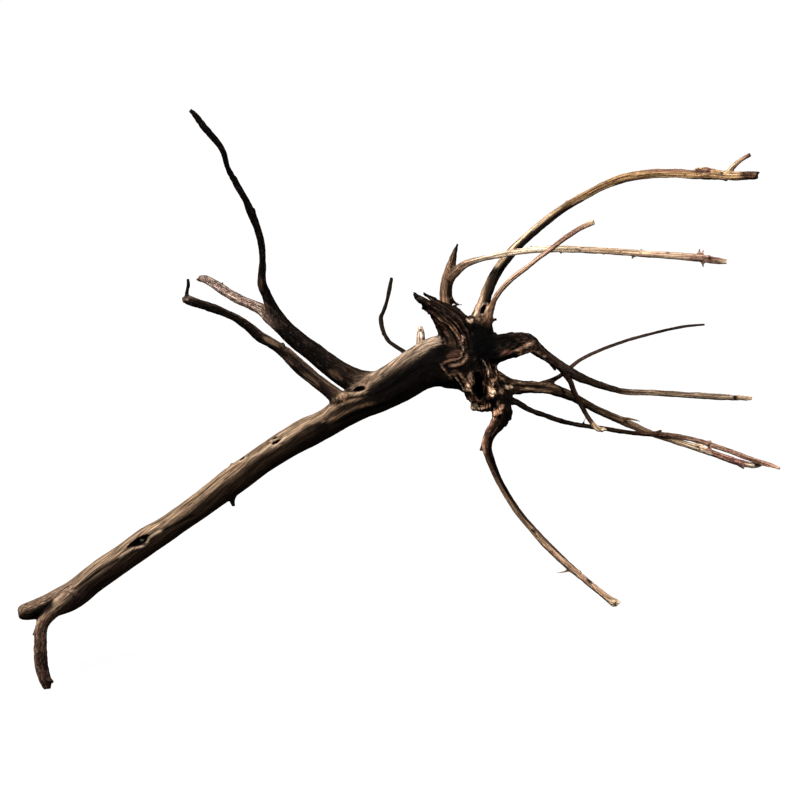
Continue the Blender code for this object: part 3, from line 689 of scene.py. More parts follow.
def grown(limbs, balls):
    """One closed mesh object of all the limbs and knobs."""
    wood = new_collection("wood")
    branches = new_collection("branches")
    trunk, sides = limbs[0]
    obj = tube("driftwood_wood", trunk, sides, wood)
    for limb, sides in limbs[1:]:
        tube(limb.name, limb, sides, branches)
    for ball in balls:
        half_sizes = [ball.radius[0]] * 3
        ellipsoid(ball.name, ball.centre[0], half_sizes, 0.0, branches, KNOB_DIVISIONS)
    combine(obj, branches, "UNION")
    return obj


def points_of(obj):
    flat = np.empty(len(obj.data.vertices) * 3, np.float32)
    obj.data.vertices.foreach_get("co", flat)
    return flat.reshape(-1, 3).astype(float) / MM


def move_to(obj, points):
    obj.data.vertices.foreach_set("co", (points * MM).astype(np.float32).ravel())
    obj.data.update()


def normals_of(obj):
    flat = np.empty(len(obj.data.vertices) * 3, np.float32)
    obj.data.vertex_normals.foreach_get("vector", flat)
    return flat.reshape(-1, 3).astype(float)


def edges_of(obj):
    flat = np.empty(len(obj.data.edges) * 2, np.int32)
    obj.data.edges.foreach_get("vertices", flat)
    return flat.reshape(-1, 2)


Pull = namedtuple("Pull", "shape rows claim found outward softness")


def pulls_of(points, shapes):
    """For each shape: the rows of the points near it, and how strongly it claims each one."""
    pulls = []
    for shape in shapes:
        margin = shape.radius.max() + CLAIM_REACH * shape.softness.max()
        low, high = shape.centre.min(axis=0) - margin, shape.centre.max(axis=0) + margin
        rows = np.flatnonzero(((points > low) & (points < high)).all(axis=1))
        if len(rows) == 0:
            continue
        distance, found, outward = shape.distance(points[rows])
        softness = shape.softness[found]
        claim = np.exp(np.clip(-distance / softness, -FURTHEST, DEEPEST))
        near = claim > SMALLEST_CLAIM
        values = (rows, claim, found, outward, softness)
        pulls.append(Pull(shape, *[value[near] for value in values]))
    return pulls


def capped(moves, longest):
    """The moves, with those beyond the longest one cut down to it."""
    size = np.linalg.norm(moves, axis=1)
    return moves * np.minimum(1.0, longest / np.maximum(size, TINY))[:, None]


def rounded_joints(points, shapes):
    """Move the points out to a smooth skin over all the shapes, which fills their creases."""
    start = points.copy()
    for _ in range(ROUNDS):
        total = np.full(len(points), NO_CLAIM)
        slope = np.zeros_like(points)
        for pull in pulls_of(points, shapes):
            total[pull.rows] += pull.claim
            slope[pull.rows] += (pull.claim / pull.softness)[:, None] * pull.outward
        slope /= total[:, None]
        steep = np.maximum(np.einsum("ij,ij->i", slope, slope), LEAST_SLOPE)
        points = points + capped((np.log(total) / steep)[:, None] * slope, LONGEST_STEP)
    return start + capped(points - start, LONGEST_WAY)


def finer_near(obj, middle, reach, longest):
    """Split the edges longer than the given length, in millimetres, near a point."""
    shape = bmesh.new()
    shape.from_mesh(obj.data)
    middle = Vector(middle * MM)
    long = [
        edge
        for edge in shape.edges
        if edge.calc_length() > longest * MM and (edge.verts[0].co - middle).length < reach * MM
    ]
    bmesh.ops.subdivide_edges(shape, edges=long, cuts=1)
    bmesh.ops.triangulate(shape, faces=shape.faces)
    shape.to_mesh(obj.data)
    shape.free()
    obj.data.update()


def relaxed(points, edges, weight, rounds):
    """Each point moves toward the middle of its neighbours, by its weight."""
    count = np.bincount(edges.ravel(), minlength=len(points))[:, None]
    for _ in range(rounds):
        total = np.zeros_like(points)
        np.add.at(total, edges[:, 0], points[edges[:, 1]])
        np.add.at(total, edges[:, 1], points[edges[:, 0]])
        points = points + weight[:, None] * (total / np.maximum(count, 1) - points)
    return points


def mixedness(points, shapes):
    """1 where two shapes claim a point alike, 0 where one has it alone."""
    total = np.full(len(points), NO_CLAIM)
    most = np.zeros(len(points))
    for pull in pulls_of(points, shapes):
        total[pull.rows] += pull.claim
        most[pull.rows] = np.maximum(most[pull.rows], pull.claim)
    return np.clip(2.0 * (1.0 - most / total), 0.0, 1.0)


# Cutting the hollows and the seats


def surface_block(collection):
    """A block below the surface that the wood stands on."""
    bpy.ops.mesh.primitive_cube_add(size=1.0, location=(0.0, 0.0, -BLOCK_HEIGHT / 2))
    block = bpy.context.object
    block.scale = (BLOCK_WIDTH, BLOCK_WIDTH, BLOCK_HEIGHT)
    for owner in block.users_collection:
        owner.objects.unlink(block)
    collection.objects.link(block)


def cut(obj):
    cutters = new_collection("cutters")
    for index, (across, up, toward, length, width, depth, turn) in enumerate(HOLLOWS):
        middle = placed(np.array([(across, up, toward)]))[0]
        half_sizes, angle = (length, width, depth), math.radians(turn)
        ellipsoid(f"hollow_{index}", middle, half_sizes, angle, cutters, HOLLOW_DIVISIONS)
    surface_block(cutters)
    combine(obj, cutters, "DIFFERENCE")


# Raised lines and grooves that the eye sees: height, half width, colour, then across and up.
# Their colours are partly the wood's own and partly painted light: the pale ones along lit ridges
# and edges are painted highlights, the black ones in cracks, creases and shadowed faces painted shade

STROKES = [
    (1.0, 1.2, "8f7a66", [(-33, 244.6), (-25.3, 251.4), (-15.2, 256), (-2.8, 263.7), (8.4, 271.6),
        (17, 279)]),
    (1.2, 1.2, "8f7862", [(-54.2, 231.3), (-46, 237), (-36, 236.6), (-28.4, 238.2), (-25.4, 244),
        (-21, 250)]),
    (0.9, 1.5, "8a7058", [(-62, 222), (-53.4, 226.2), (-45, 229.8), (-36, 233), (-29, 236)]),
    (-1.2, 1.2, "1c130d", [(-54, 225.8), (-46, 231.4), (-40, 233.4), (-34, 234.4), (-26, 236.6)]),
    (0.6, 1.2, "6f5743", [(-58, 214.5), (-46, 221), (-34, 226), (-20, 229)]),
    (-1.0, 1.5, "120c08", [(-52, 212), (-38, 219.5), (-24, 224), (-8, 229), (6, 238)]),
    (-0.8, 1.6, "1c130d", [(-22, 236), (-12, 240), (0, 247.5), (12, 256.5), (22, 262)]),
    (0.9, 1.0, "a89078", [(-106.5, 195.4), (-102, 194.9), (-97.6, 196.2), (-94, 200), (-91, 203.4)]),
    (0.7, 0.7, "a0886e", [(-104.6, 199.4), (-100, 199.6), (-96.4, 200.8)]),
    (0.7, 1.6, "94806a", [(-124, 183), (-112, 190), (-104, 196), (-96, 204), (-84, 211)]),
    (-0.7, 1.2, "2a1f17", [(-118, 179), (-104, 188), (-92, 194), (-80, 205)]),
    (0.5, 0.8, "9a8570", [(-129.5, 182.4), (-126, 183.6), (-122.6, 187.2)]),
    (1.2, 0.9, "b49c84", [(-225.5, 105.2), (-220, 109.4), (-214.4, 112.4), (-208.6, 114.2),
        (-204.2, 115.4)]),
    (1.2, 0.8, "b49c84", [(-203, 116.6), (-200.9, 121.6), (-195.3, 125.3), (-190.5, 128)]),
    (1.0, 1.4, "8f7862", [(-226, 112), (-218.5, 117.5), (-210, 123.6), (-201, 128.6), (-192, 133)]),
    (-0.9, 1.2, "1a120c", [(-190, 127), (-176, 134.6), (-164, 140)]),
    (-0.7, 1.1, "241a13", [(-262, 80), (-246, 92), (-232, 101), (-222, 107)]),
    (0.9, 1.5, "8a715e", [(-274, 73.5), (-279.6, 70.8), (-284.4, 65), (-288.6, 57.4), (-290.4, 49)]),
    (-1.6, 1.5, "080504", [(-296, 55.2), (-291.8, 57.6), (-286.8, 63.4), (-281.4, 69.6), (-277, 73.4)]),
    (1.0, 1.6, "3f2b21", [(21, 303.8), (28.6, 300.2), (32.3, 295.6), (34, 291), (37, 286),
        (39.4, 281), (40.6, 277)]),
    (1.3, 0.7, "86664f", [(28.6, 300.4), (33.8, 295.2), (38.3, 291.8), (42.8, 287.4), (45.8, 283.6),
        (48, 279.9), (48.8, 275.4)]),
    (1.2, 0.6, "6f5240", [(34.6, 298.6), (39.8, 294.1), (44.3, 289.6), (47.3, 285.1), (49.5, 280.6),
        (50.3, 276.2)]),
    (1.0, 0.5, "5a4334", [(30, 306), (36, 302), (42, 297), (47.5, 291), (51.5, 284), (53.4, 277)]),
    (1.2, 0.7, "3f2e23", [(21.9, 315), (27.8, 310.9), (35.3, 306.8), (42.8, 301.6), (48.8, 295.6),
        (54, 288)]),
    (1.0, 0.7, "33251b", [(14, 313.6), (20, 310.6), (27, 306.4), (33, 302.6)]),
    (0.9, 0.36, "9a8474", [(48.4, 285.1), (50.6, 281.4), (49.7, 276.2), (50.6, 271.7), (49.4, 268)]),
    (-1.5, 0.6, "070403", [(24, 304.6), (31, 299.4), (36, 293.6), (40.5, 288.4), (43.6, 283.4),
        (45.4, 278), (46, 273.4)]),
    (-1.5, 0.6, "070403", [(32, 302), (38, 297.4), (43.6, 292), (47.4, 286.6), (49, 282.4),
        (47.6, 277)]),
    (-1.5, 0.8, "070403", [(26, 309), (34, 304.4), (41, 299.6), (47.4, 293.4), (51.8, 286.6),
        (54.6, 278.4), (55, 271)]),
    (-1.2, 0.6, "070403", [(38, 307), (45, 302.4), (51, 296.2), (55.4, 289.4), (57.4, 282)]),
    (-1.4, 1.0, "030202", [(33.4, 286.4), (33.0, 280), (34.6, 276.4), (38.6, 273.8)]),
    (-1.2, 0.7, "0a0604", [(25.6, 297), (29, 291), (33, 286.4), (36.8, 281.6), (38.6, 277)]),
    (0.7, 0.8, "7a5c4a", [(32.3, 260.5), (36, 262.2), (41.3, 263.7), (46.5, 264.4), (49.3, 267.2),
        (49.2, 271.4)]),
    (-1.0, 0.45, "0a0604", [(49.5, 276.2), (49.3, 272.6), (50.8, 268.9), (49.2, 265.3), (44.3, 263.1),
        (38.8, 262), (36.9, 259.7), (38.3, 256.9), (41.3, 255.8), (45.8, 256.7), (50.3, 258.2),
        (54.7, 261.2), (55.7, 265), (54.9, 269.6)]),
    (0.5, 1.2, "7d6350", [(39.6, 259.2), (44.3, 259.7), (49.2, 261), (52.8, 264.8), (53.4, 268.9)]),
    (0.8, 0.6, "6a5342", [(31.6, 262), (33.8, 257.5), (36.1, 255.2), (38.2, 252), (42, 249.4)]),
    (1.6, 0.42, "b4a290", [(43.6, 251.2), (47.4, 246.2), (50.6, 241.8), (54, 237.7)]),
    (1.6, 0.42, "a08c78", [(48.6, 249), (52.4, 243.9), (56, 239), (59.6, 235.4)]),
    (-1.8, 0.9, "060403", [(45.4, 251.8), (49.2, 246.4), (52.6, 241.6), (56.2, 237), (59.6, 232.8)]),
    (-1.6, 0.9, "080504", [(41.4, 250.4), (46, 244.8), (50.4, 238.6), (54, 232.6)]),
    (1.2, 0.8, "6f5541", [(47.4, 253), (51.6, 247.6), (55, 242.4), (57.6, 238.4)]),
    (1.7, 0.5, "8f7868", [(65.2, 265), (68, 261.6), (69.9, 257.8), (70.6, 252.3), (71.6, 248.7)]),
    (1.5, 0.5, "6f5a4a", [(68.4, 266.6), (71.6, 261.8), (73.2, 256), (74.2, 250.6)]),
    (1.5, 0.45, "5f4a3c", [(76.6, 262), (75.6, 256.6), (77.4, 252.4), (76.6, 247.8)]),
    (-0.5, 0.7, "2c2018", [(108, 365.6), (120, 375.6), (132, 384), (146, 391.4)]),
    (-0.4, 0.6, "4a3424", [(124, 382), (140, 393), (156, 401.4), (174, 409), (190, 413)]),
    (0.3, 0.8, "dcbc8c", [(138, 388), (154, 396.4), (170, 403), (188, 407.6), (210, 410.2),
        (234, 409.8)]),
    (0.0, 1.0, "d8bc98", [(73, 331), (78.8, 340.6), (85.6, 349.2), (92.6, 356.7), (100.5, 364.2),
        (109.5, 372), (119.5, 380), (129.5, 387)]),
    (1.4, 0.6, "c8ac94", [(61.2, 297.6), (61.6, 300.4), (63.6, 305.3), (65.9, 308.4), (69.4, 309.3),
        (70.2, 307), (68.6, 302.3), (66.2, 300.2), (64, 300.8)]),
    (-1.4, 1.2, "060403", [(66.6, 305.8), (67.6, 303.6), (66.2, 301.8)]),
    (0.9, 0.8, "c4a48a", [(57.4, 296.2), (60, 301.4), (63.2, 308.4), (66, 314.6)]),
    (1.2, 1.3, "9a7a62", [(91.6, 270.4), (96, 272.2), (100, 274.4), (105.6, 277.6)]),
    (1.1, 0.7, "b4947c", [(99.6, 272.2), (103.4, 275.2), (107, 278.2)]),
    (1.0, 0.8, "7b5f4a", [(94, 268.4), (100, 270.2), (107.4, 271.4), (112, 268.6)]),
    (-1.3, 0.7, "080504", [(86, 270.6), (92, 273), (97.6, 276), (103, 279.4)]),
    (-1.2, 0.6, "0a0604", [(97, 270.8), (101, 273), (104.6, 274.4)]),
    (-1.2, 0.6, "0a0604", [(80, 275), (88, 276.8), (95, 279.4), (100, 281.6)]),
    (1.1, 0.8, "2a1d15", [(76, 282), (84, 283.6), (92, 284.6), (101, 284)]),
    (1.0, 0.9, "3f2b24", [(79, 267.4), (85, 270.4), (90, 272.4)]),
    (-0.9, 0.9, "0d0806", [(78, 246), (92, 243.6), (106, 243.8), (118, 242.6)]),
    (0.7, 0.7, "8a6e54", [(92, 246.4), (104, 245.4), (116, 244.6), (126, 241.6)]),
    (0.6, 0.7, "94785e", [(96, 241.4), (110, 239.8), (122, 238)]),
    (1.0, 0.9, "c8967a", [(77.2, 221.4), (74.4, 216.4), (71.2, 211.6), (67.8, 206.6)]),
    (0.0, 2.2, "070403", [(84, 222), (82, 214), (77.4, 206), (74, 198), (73.4, 190)]),
    (-1.1, 0.7, "0a0604", [(80.4, 221), (77.4, 214), (73, 206), (70.8, 197)]),
    (0.8, 0.7, "cc9c7c", [(67.2, 203.6), (66.2, 198.4), (66.6, 192.6), (68.6, 187)]),
]

# Spots that the eye sees: across, up, half length, half width, turn in degrees, strength, colour.
# The black spots in the hollows and creases, in the crown's middle and on the trunk's front by the
# crown are painted shade

SPOTS = [
    (66.5, 277.6, 10.6, 14.6, 0, 1.0, "010101"), (62, 289, 6, 4.6, -40, 0.95, "030202"),
    (82, 280.2, 11, 4.2, 6, 0.9, "040302"), (74, 266.4, 6.4, 6, 0, 0.95, "030202"),
    (43, 268.8, 6.4, 2.8, 24, 0.6, "553b30"), (56.4, 246.8, 3.2, 8, -10, 0.9, "9a7a62"),
    (50.6, 250.6, 2.6, 4, 40, 0.7, "6f5540"),
    (26, 268.4, 12, 4.4, 30, 0.9, "060403"), (33.4, 273.6, 4.6, 3.4, 30, 0.9, "040302"),
    (18, 257.4, 19, 8.4, 30, 0.88, "080504"), (30, 250, 9, 5, 10, 0.6, "1c140e"),
    (40, 278.6, 7, 3.4, -30, 0.92, "2a1d15"), (-43.6, 233, 6.4, 4.4, 0, 0.75, "6a543f"),
    (64.6, 242.8, 4.9, 12.6, 0, 1.0, "010101"), (74.6, 229.4, 2.8, 3.8, 0, 1.0, "030202"),
    (73.6, 239.4, 3.4, 4.6, 0, 0.95, "e0bc9c"), (75.6, 236.8, 2.0, 1.6, 30, 0.95, "ecceb0"),
    (74, 245.6, 2.6, 2.4, 0, 0.9, "b8967c"), (74, 245.8, 1.2, 1.0, 0, 0.8, "33221a"),
    (87.6, 242.6, 3.4, 2.1, 10, 0.95, "bca488"), (81.4, 244.8, 2.6, 2.6, 0, 0.9, "060403"),
    (81, 239.4, 1.8, 2.6, 20, 0.7, "8a6a56"), (84.6, 233, 3.6, 4, 0, 0.8, "0a0604"),
    (78.4, 222.2, 3.2, 2.2, 40, 0.95, "d09c7a"), (81.2, 226.6, 2.2, 2.0, 40, 0.9, "cf9c7c"),
    (68, 227, 4.4, 2.4, 8, 0.9, "a08068"), (60, 226.6, 3.6, 2.6, -30, 0.9, "7a6c54"),
    (64.6, 224.6, 2.4, 1.6, 20, 0.9, "ac9078"), (85.4, 269.6, 5, 3.0, 20, 0.9, "4a3028"),
    (102.6, 275.4, 4.4, 2.2, 24, 0.85, "7c6452"), (112, 268.8, 2.4, 2.0, -40, 0.7, "8a6e58"),
    (115.8, 266.6, 0.9, 0.9, 0, 0.9, "d8b8a0"),
    (-288.8, 62.4, 14.5, 4.3, 34, 0.95, "060403"), (-207.8, 119.4, 8.6, 3.2, 30, 1.0, "020101"),
    (-206.7, 119.8, 1.0, 0.8, 0, 1.0, "f4e8d8"),
    (-99.6, 198.0, 3.2, 1.2, 20, 0.95, "050302"), (-100.2, 201.6, 2.4, 1.0, 25, 0.95, "0a0604"),
    (-126, 185.2, 2.8, 0.9, 42, 0.95, "0a0604"), (-31.6, 240.8, 4.6, 2.2, 12, 0.97, "030202"),
    (-40.6, 240, 4.4, 1.5, -8, 0.8, "0a0604"),
    (-62.4, 208.8, 6.2, 4.6, 20, 0.92, "0a0604"), (-62.4, 215.4, 2.0, 1.2, 0, 0.7, "7a6450"),
    (-74.7, 210.2, 5.0, 2.0, 32, 0.6, "1c140e"), (-15.4, 241.2, 6.6, 3.0, 35, 0.92, "060403"),
    (-8, 243, 17, 6.6, 32, 0.85, "090605"), (-4, 251.4, 7, 3.2, 33, 0.75, "070503"),
    (43, 252, 5, 3, 30, 0.5, "6a5342"), (-40, 224, 12, 3.4, 28, 0.6, "1c130d"),
    (-100, 184, 6, 1.6, 34, 0.5, "1c140e"),
    (58.2, 298.4, 1.1, 1.1, 0, 0.95, "060403"), (56.2, 296, 2.6, 1.8, -30, 0.8, "dcc0a8"),
    (71.5, 322, 3.6, 16, -16, 0.75, "150e0a"), (42, 338, 3, 9, -12, 0.55, "33261c"),
    (74.6, 333.6, 2.2, 6, -22, 0.6, "1c130d"),
    (16.6, 287.8, 1.3, 1.5, 0, 0.9, "2a1c14"), (16.2, 284, 2.6, 2.2, 0, 0.7, "ecd8c4"),
    (244, 415.6, 6.5, 2.4, 6, 0.75, "664c40"), (239.6, 414.2, 4.0, 1.5, 10, 0.9, "3f2c24"),
    (246.4, 415.2, 2.2, 1.3, 20, 0.95, "120b07"),
    (251.4, 416.6, 3.2, 0.8, 12, 0.8, "7a5a4a"), (249.4, 413.2, 4.0, 1.1, 4, 0.85, "5a4032"),
    (257.4, 413.2, 1.3, 1.2, 0, 0.95, "0d0806"),
    (192.5, 415, 1.2, 0.7, 0, 0.8, "2a1c14"), (199, 412, 1.0, 0.8, 0, 0.8, "33221a"),
    (211, 416, 1.4, 0.6, 0, 0.8, "2a1c14"), (227.6, 412.2, 1.3, 0.9, 0, 0.85, "33221a"),
    (214, 416, 32, 1.5, 0, 0.9, "6f5046"), (165, 406, 1.2, 1.2, 0, 0.8, "4a342a"),
    (158, 399.4, 9, 1.2, 28, 0.5, "6a4e3a"), (176, 406.8, 8, 1.0, 14, 0.5, "7a5a42"),
    (247.6, 345.2, 2.2, 1.7, 0, 0.9, "3f2c22"), (247.8, 345.3, 0.9, 0.7, 0, 0.9, "120b07"),
    (235, 345.4, 4.4, 1.8, 0, 0.55, "a87868"), (141.5, 352.6, 0.8, 0.6, 0, 0.9, "2a1a12"),
    (160.3, 352.2, 0.7, 0.6, 0, 0.9, "2a1a12"), (176.7, 350.4, 0.7, 0.6, 0, 0.9, "2a1a12"),
    (192.5, 349.6, 0.8, 0.6, 0, 0.9, "2a1a12"), (214, 348.6, 0.8, 0.7, 0, 0.9, "2a1a12"),
    (151, 353.2, 1.4, 0.5, 0, 0.6, "6a4e3c"), (205, 347.4, 2.0, 0.6, -6, 0.6, "6a4e3c"),
    (268.4, 233.9, 1.7, 2.6, 0, 0.95, "17100c"), (265.4, 235.6, 1.6, 0.9, 0, 0.9, "e0c4a4"),
    (237, 237, 1.6, 0.9, 0, 0.7, "dcc0a0"),
    (151.4, 87.0, 1.6, 3.2, 52, 0.92, "0f0a07"), (106.8, 127.2, 1.4, 2.4, 50, 0.9, "1c130d"),
    (136, 99.2, 3.4, 1.0, -42, 0.6, "6a4a38"), (172, 68.8, 1.4, 1.6, 0, 0.85, "4a3424"),
    (235.4, 194, 6.4, 1.4, -18, 0.7, "e8ccaa"), (247.4, 189.6, 3.6, 1.4, -18, 0.85, "f0d8b8"),
    (285.6, 180.2, 2.0, 1.2, 0, 0.95, "070403"), (281.6, 180.6, 1.0, 1.6, 0, 0.9, "f0d8b8"),
    (160.6, 208.6, 2.0, 1.6, 0, 0.9, "ecd2b0"), (163.6, 207.2, 0.8, 1.2, 0, 0.8, "33221a"),
    (-103, 278.6, 8, 2.4, -32, 0.6, "7a6450"), (-71, 247.6, 9, 2.2, -40, 0.6, "705a46"),
    (-89, 263, 5, 2, -42, 0.5, "6a5442"), (-113, 322, 2.6, 9, -8, 0.6, "4f3c2f"),
    (-108, 306, 3, 6, 24, 0.5, "5f4838"), (-52, 252, 7, 3, -36, 0.5, "5a4434"),
    (-26, 247.6, 6, 3.4, 10, 0.6, "4f3b2e"), (-158.4, 328, 2.0, 1.6, 0, 0.6, "5a4438"),
    (-171, 312.6, 2.2, 1.0, 0, 0.8, "a08c7c"),
]

# Colours along each limb: share of its length, sunny side, shaded side, specks, bark. The sunny and
# shaded colours are painted light and painted shade: lit and shaded copies of the wood's colour

TONES = {
    "trunk": [
        (0.0, "74604f", "1f1611", 0.1, 0.1), (0.08, "7c6756", "1f1611", 0.1, 0.1),
        (0.25, "846f5a", "231810", 0.1, 0.05), (0.5, "866f59", "1f150d", 0.1, 0.05),
        (0.75, "8d7761", "150e09", 0.1, 0.05), (0.85, "927c68", "0d0806", 0.1, 0.05),
        (0.93, "9a8572", "0a0604", 0.1, 0.05), (1.0, "2a1d15", "0a0604", 0.1, 0.3),
    ],
    "crown": [
        (0.0, "7a5d48", "241912", 0.1, 0.9), (0.5, "4a3728", "0d0806", 0.1, 0.9),
        (1.0, "17100b", "070403", 0.1, 0.6),
    ],
    "foot": [
        (0.0, "7c6756", "1f1611", 0.1, 0.05), (0.2, "86705c", "2a1e16", 0.1, 0.2),
        (0.35, "a0826b", "5f483a", 0.2, 0.7),
        (0.7, "866857", "40302a", 0.2, 0.9), (1.0, "4a372b", "241a14", 0.2, 1.0),
    ],
    "left_branch": [
        (0.0, "302419", "0d0906", 0.1, 0.3), (0.12, "221913", "080504", 0.1, 0.4),
        (0.4, "2a211b", "0a0705", 0.1, 0.4), (0.7, "201813", "080504", 0.1, 0.3),
        (1.0, "33281f", "0f0b08", 0.1, 0.4),
    ],
    "third_branch": [
        (0.0, "5f4a3d", "33261e", 0.2, 0.6), (0.25, "9c8679", "73625a", 0.3, 1.0),
        (1.0, "a49084", "7c685e", 0.3, 1.0),
    ],
    "second_branch": [
        (0.0, "5f4a39", "1c140e", 0.1, 0.3), (0.35, "604e42", "1f1712", 0.1, 0.6),
        (0.6, "554439", "1c140f", 0.1, 0.7), (0.9, "4c3e35", "1c1510", 0.1, 0.7),
        (1.0, "6a5a4c", "2a201a", 0.1, 0.5),
    ],
    "branch_twig": [(0.0, "2a1f17", "120c09", 0.0, 0.3), (1.0, "17110c", "0d0907", 0.0, 0.2)],
    "whip": [(0.0, "1f1711", "0d0907", 0.0, 0.2), (1.0, "17110c", "0a0705", 0.0, 0.2)],
    "back_stub": [(0.0, "a0806a", "6c5040", 0.3, 0.4), (1.0, "dcc2ab", "a58672", 0.4, 0.6)],
    "burl": [
        (0.0, "17100b", "050302", 0.0, 0.7), (0.5, "241a13", "070403", 0.0, 0.7),
        (1.0, "382a22", "0a0604", 0.0, 0.6),
    ],
    "upright_stub": [
        (0.0, "5f4838", "0f0a07", 0.3, 0.6), (0.35, "907059", "120c08", 0.8, 0.3),
        (0.75, "9a7a63", "120c08", 0.8, 0.4), (1.0, "33241b", "0f0a07", 0.3, 0.5),
    ],
    "thorny_root": [
        (0.0, "4f3c2c", "1c130d", 0.2, 0.3), (0.05, "7c6450", "2a1f17", 0.5, 0.2),
        (0.09, "a88c74", "4f3c2d", 0.6, 0.1),
        (0.14, "d2bba3", "806650", 0.7, 0.05), (0.3, "ecd4b6", "a08467", 0.8, 0.05),
        (0.55, "b89a7c", "80664c", 0.9, 0.1), (0.8, "d0b094", "94785e", 0.9, 0.1),
        (0.93, "b48c78", "8a6858", 0.8, 0.5), (0.96, "8a6858", "6a4e40", 0.6, 0.3),
        (1.0, "dcc4a8", "b89c80", 0.4, 0.0),
    ],
    "arch_root": [
        (0.0, "4a372a", "0d0806", 0.3, 0.5), (0.08, "8f7660", "0f0a07", 0.6, 0.1),
        (0.25, "806852", "100b07", 0.6, 0.05), (0.36, "786048", "17100b", 0.5, 0.1),
        (0.45, "947654", "33241a", 0.5, 0.2), (0.6, "987852", "553e2a", 0.5, 0.3),
        (0.85, "a4825c", "74573c", 0.5, 0.3), (0.95, "a08260", "74593f", 0.4, 0.1),
        (0.965, "4f3a2d", "1f1510", 0.3, 0.8), (1.0, "6a5040", "2a1c14", 0.3, 0.8),
    ],
    "arch_twig": [
        (0.0, "cfb492", "94745c", 0.4, 0.1), (0.6, "c8ac8c", "947460", 0.3, 0.3),
        (0.85, "a07c68", "664c38", 0.3, 0.6), (1.0, "5f4438", "33221a", 0.2, 0.4),
    ],
    "front_root": [
        (0.0, "2a1c14", "0f0a07", 0.3, 0.4), (0.15, "7a5c46", "1f1510", 0.4, 0.2),
        (0.35, "a0826b", "4a362a", 0.5, 0.05), (0.6, "a4856e", "553f32", 0.5, 0.2),
        (0.85, "a07868", "6f4f42", 0.3, 0.6), (0.95, "b8947a", "84664f", 0.3, 0.3),
        (1.0, "d2b494", "a08060", 0.3, 0.1),
    ],
    "front_stub": [(0.0, "1c130d", "0a0705", 0.0, 0.4), (1.0, "33241b", "120c08", 0.0, 0.4)],
    "thick_root": [
        (0.0, "0f0a07", "070403", 0.0, 0.5), (0.12, "18100c", "080503", 0.1, 0.7),
        (0.2, "3f3025", "0f0a07", 0.2, 0.6), (0.28, "4a3a32", "120c08", 0.2, 0.5),
        (0.36, "33261e", "0f0a07", 0.2, 0.4), (0.52, "3a2c22", "120c08", 0.2, 0.3),
        (0.57, "86705c", "3a2b20", 0.3, 0.2), (0.7, "947c66", "4f3c2f", 0.3, 0.15),
        (0.9, "a89078", "664f40", 0.3, 0.15), (0.95, "b5967c", "7a6050", 0.2, 0.1),
        (1.0, "e8c8a4", "c09c7c", 0.2, 0.0),
    ],
    "forked_root": [
        (0.0, "261912", "0a0705", 0.1, 0.4), (0.6, "2e1f18", "0f0a07", 0.2, 0.5),
        (0.8, "4f3428", "1c120d", 0.2, 0.5), (0.86, "d2b08c", "8a6a50", 0.2, 0.1),
        (1.0, "ecd2b0", "b8987a", 0.2, 0.0),
    ],
    "middle_root": [
        (0.0, "2a1e16", "0d0806", 0.1, 0.6), (0.18, "4f3d30", "130d09", 0.2, 0.6),
        (0.34, "7a624c", "241912", 0.3, 0.4), (0.46, "a88a6c", "5a4332", 0.3, 0.3),
        (0.56, "c8a684", "806449", 0.4, 0.2), (0.66, "eccaa4", "b89874", 0.4, 0.2),
        (0.76, "ffe4c0", "e0bc94", 0.3, 0.1), (0.785, "c08e7a", "94705c", 0.3, 0.6),
        (0.93, "c49080", "94705f", 0.3, 0.8), (0.96, "fff0d0", "e0c09c", 0.2, 0.0),
        (1.0, "2a1c14", "17100b", 0.3, 0.5),
    ],
    "rising_root": [
        (0.0, "33251d", "120c08", 0.1, 0.3), (0.5, "44322a", "1a120d", 0.1, 0.4),
        (1.0, "3a2a23", "17100c", 0.1, 0.3),
    ],
    "crossing_root": [
        (0.0, "1a120d", "0a0705", 0.0, 0.3), (0.3, "2c2019", "0f0a07", 0.1, 0.3),
        (0.46, "55402f", "1c130d", 0.2, 0.5), (0.58, "8c6854", "4a3429", 0.3, 0.7),
        (0.66, "bc947e", "8a6856", 0.3, 0.6), (0.9, "dcae94", "ac8872", 0.3, 0.6),
        (1.0, "c89c84", "94705e", 0.3, 0.6),
    ],
    "lower_root": [
        (0.0, "2a1d15", "0a0604", 0.0, 0.6), (0.1, "3f2e23", "0a0604", 0.2, 0.6),
        (0.2, "5f4535", "0a0604", 0.3, 0.6), (0.28, "6a4e3c", "0a0705", 0.3, 0.4),
        (0.38, "c09878", "120c08", 0.3, 0.2), (0.5, "f0c8a0", "33241b", 0.3, 0.2),
        (0.62, "e4bc98", "6f5240", 0.4, 0.2), (0.86, "d0a88c", "7c5e4a", 0.4, 0.4),
        (0.93, "cfa986", "9a785a", 0.3, 0.2),
        (1.0, "f0d4b0", "c4a280", 0.2, 0.0),
    ],
    "knob": [(0.0, "b08e76", "3a2b20", 0.3, 0.4), (1.0, "b08e76", "3a2b20", 0.3, 0.4)],
    "spur": [(0.0, "3f2f23", "120c08", 0.1, 0.3), (1.0, "2c1f17", "0f0a07", 0.1, 0.3)],
    "thorn": [
        (0.0, "b0947a", "7c624c", 0.3, 0.0), (0.5, "6f5544", "4a382c", 0.2, 0.0),
        (1.0, "3a281c", "241812", 0.0, 0.0),
    ],
}
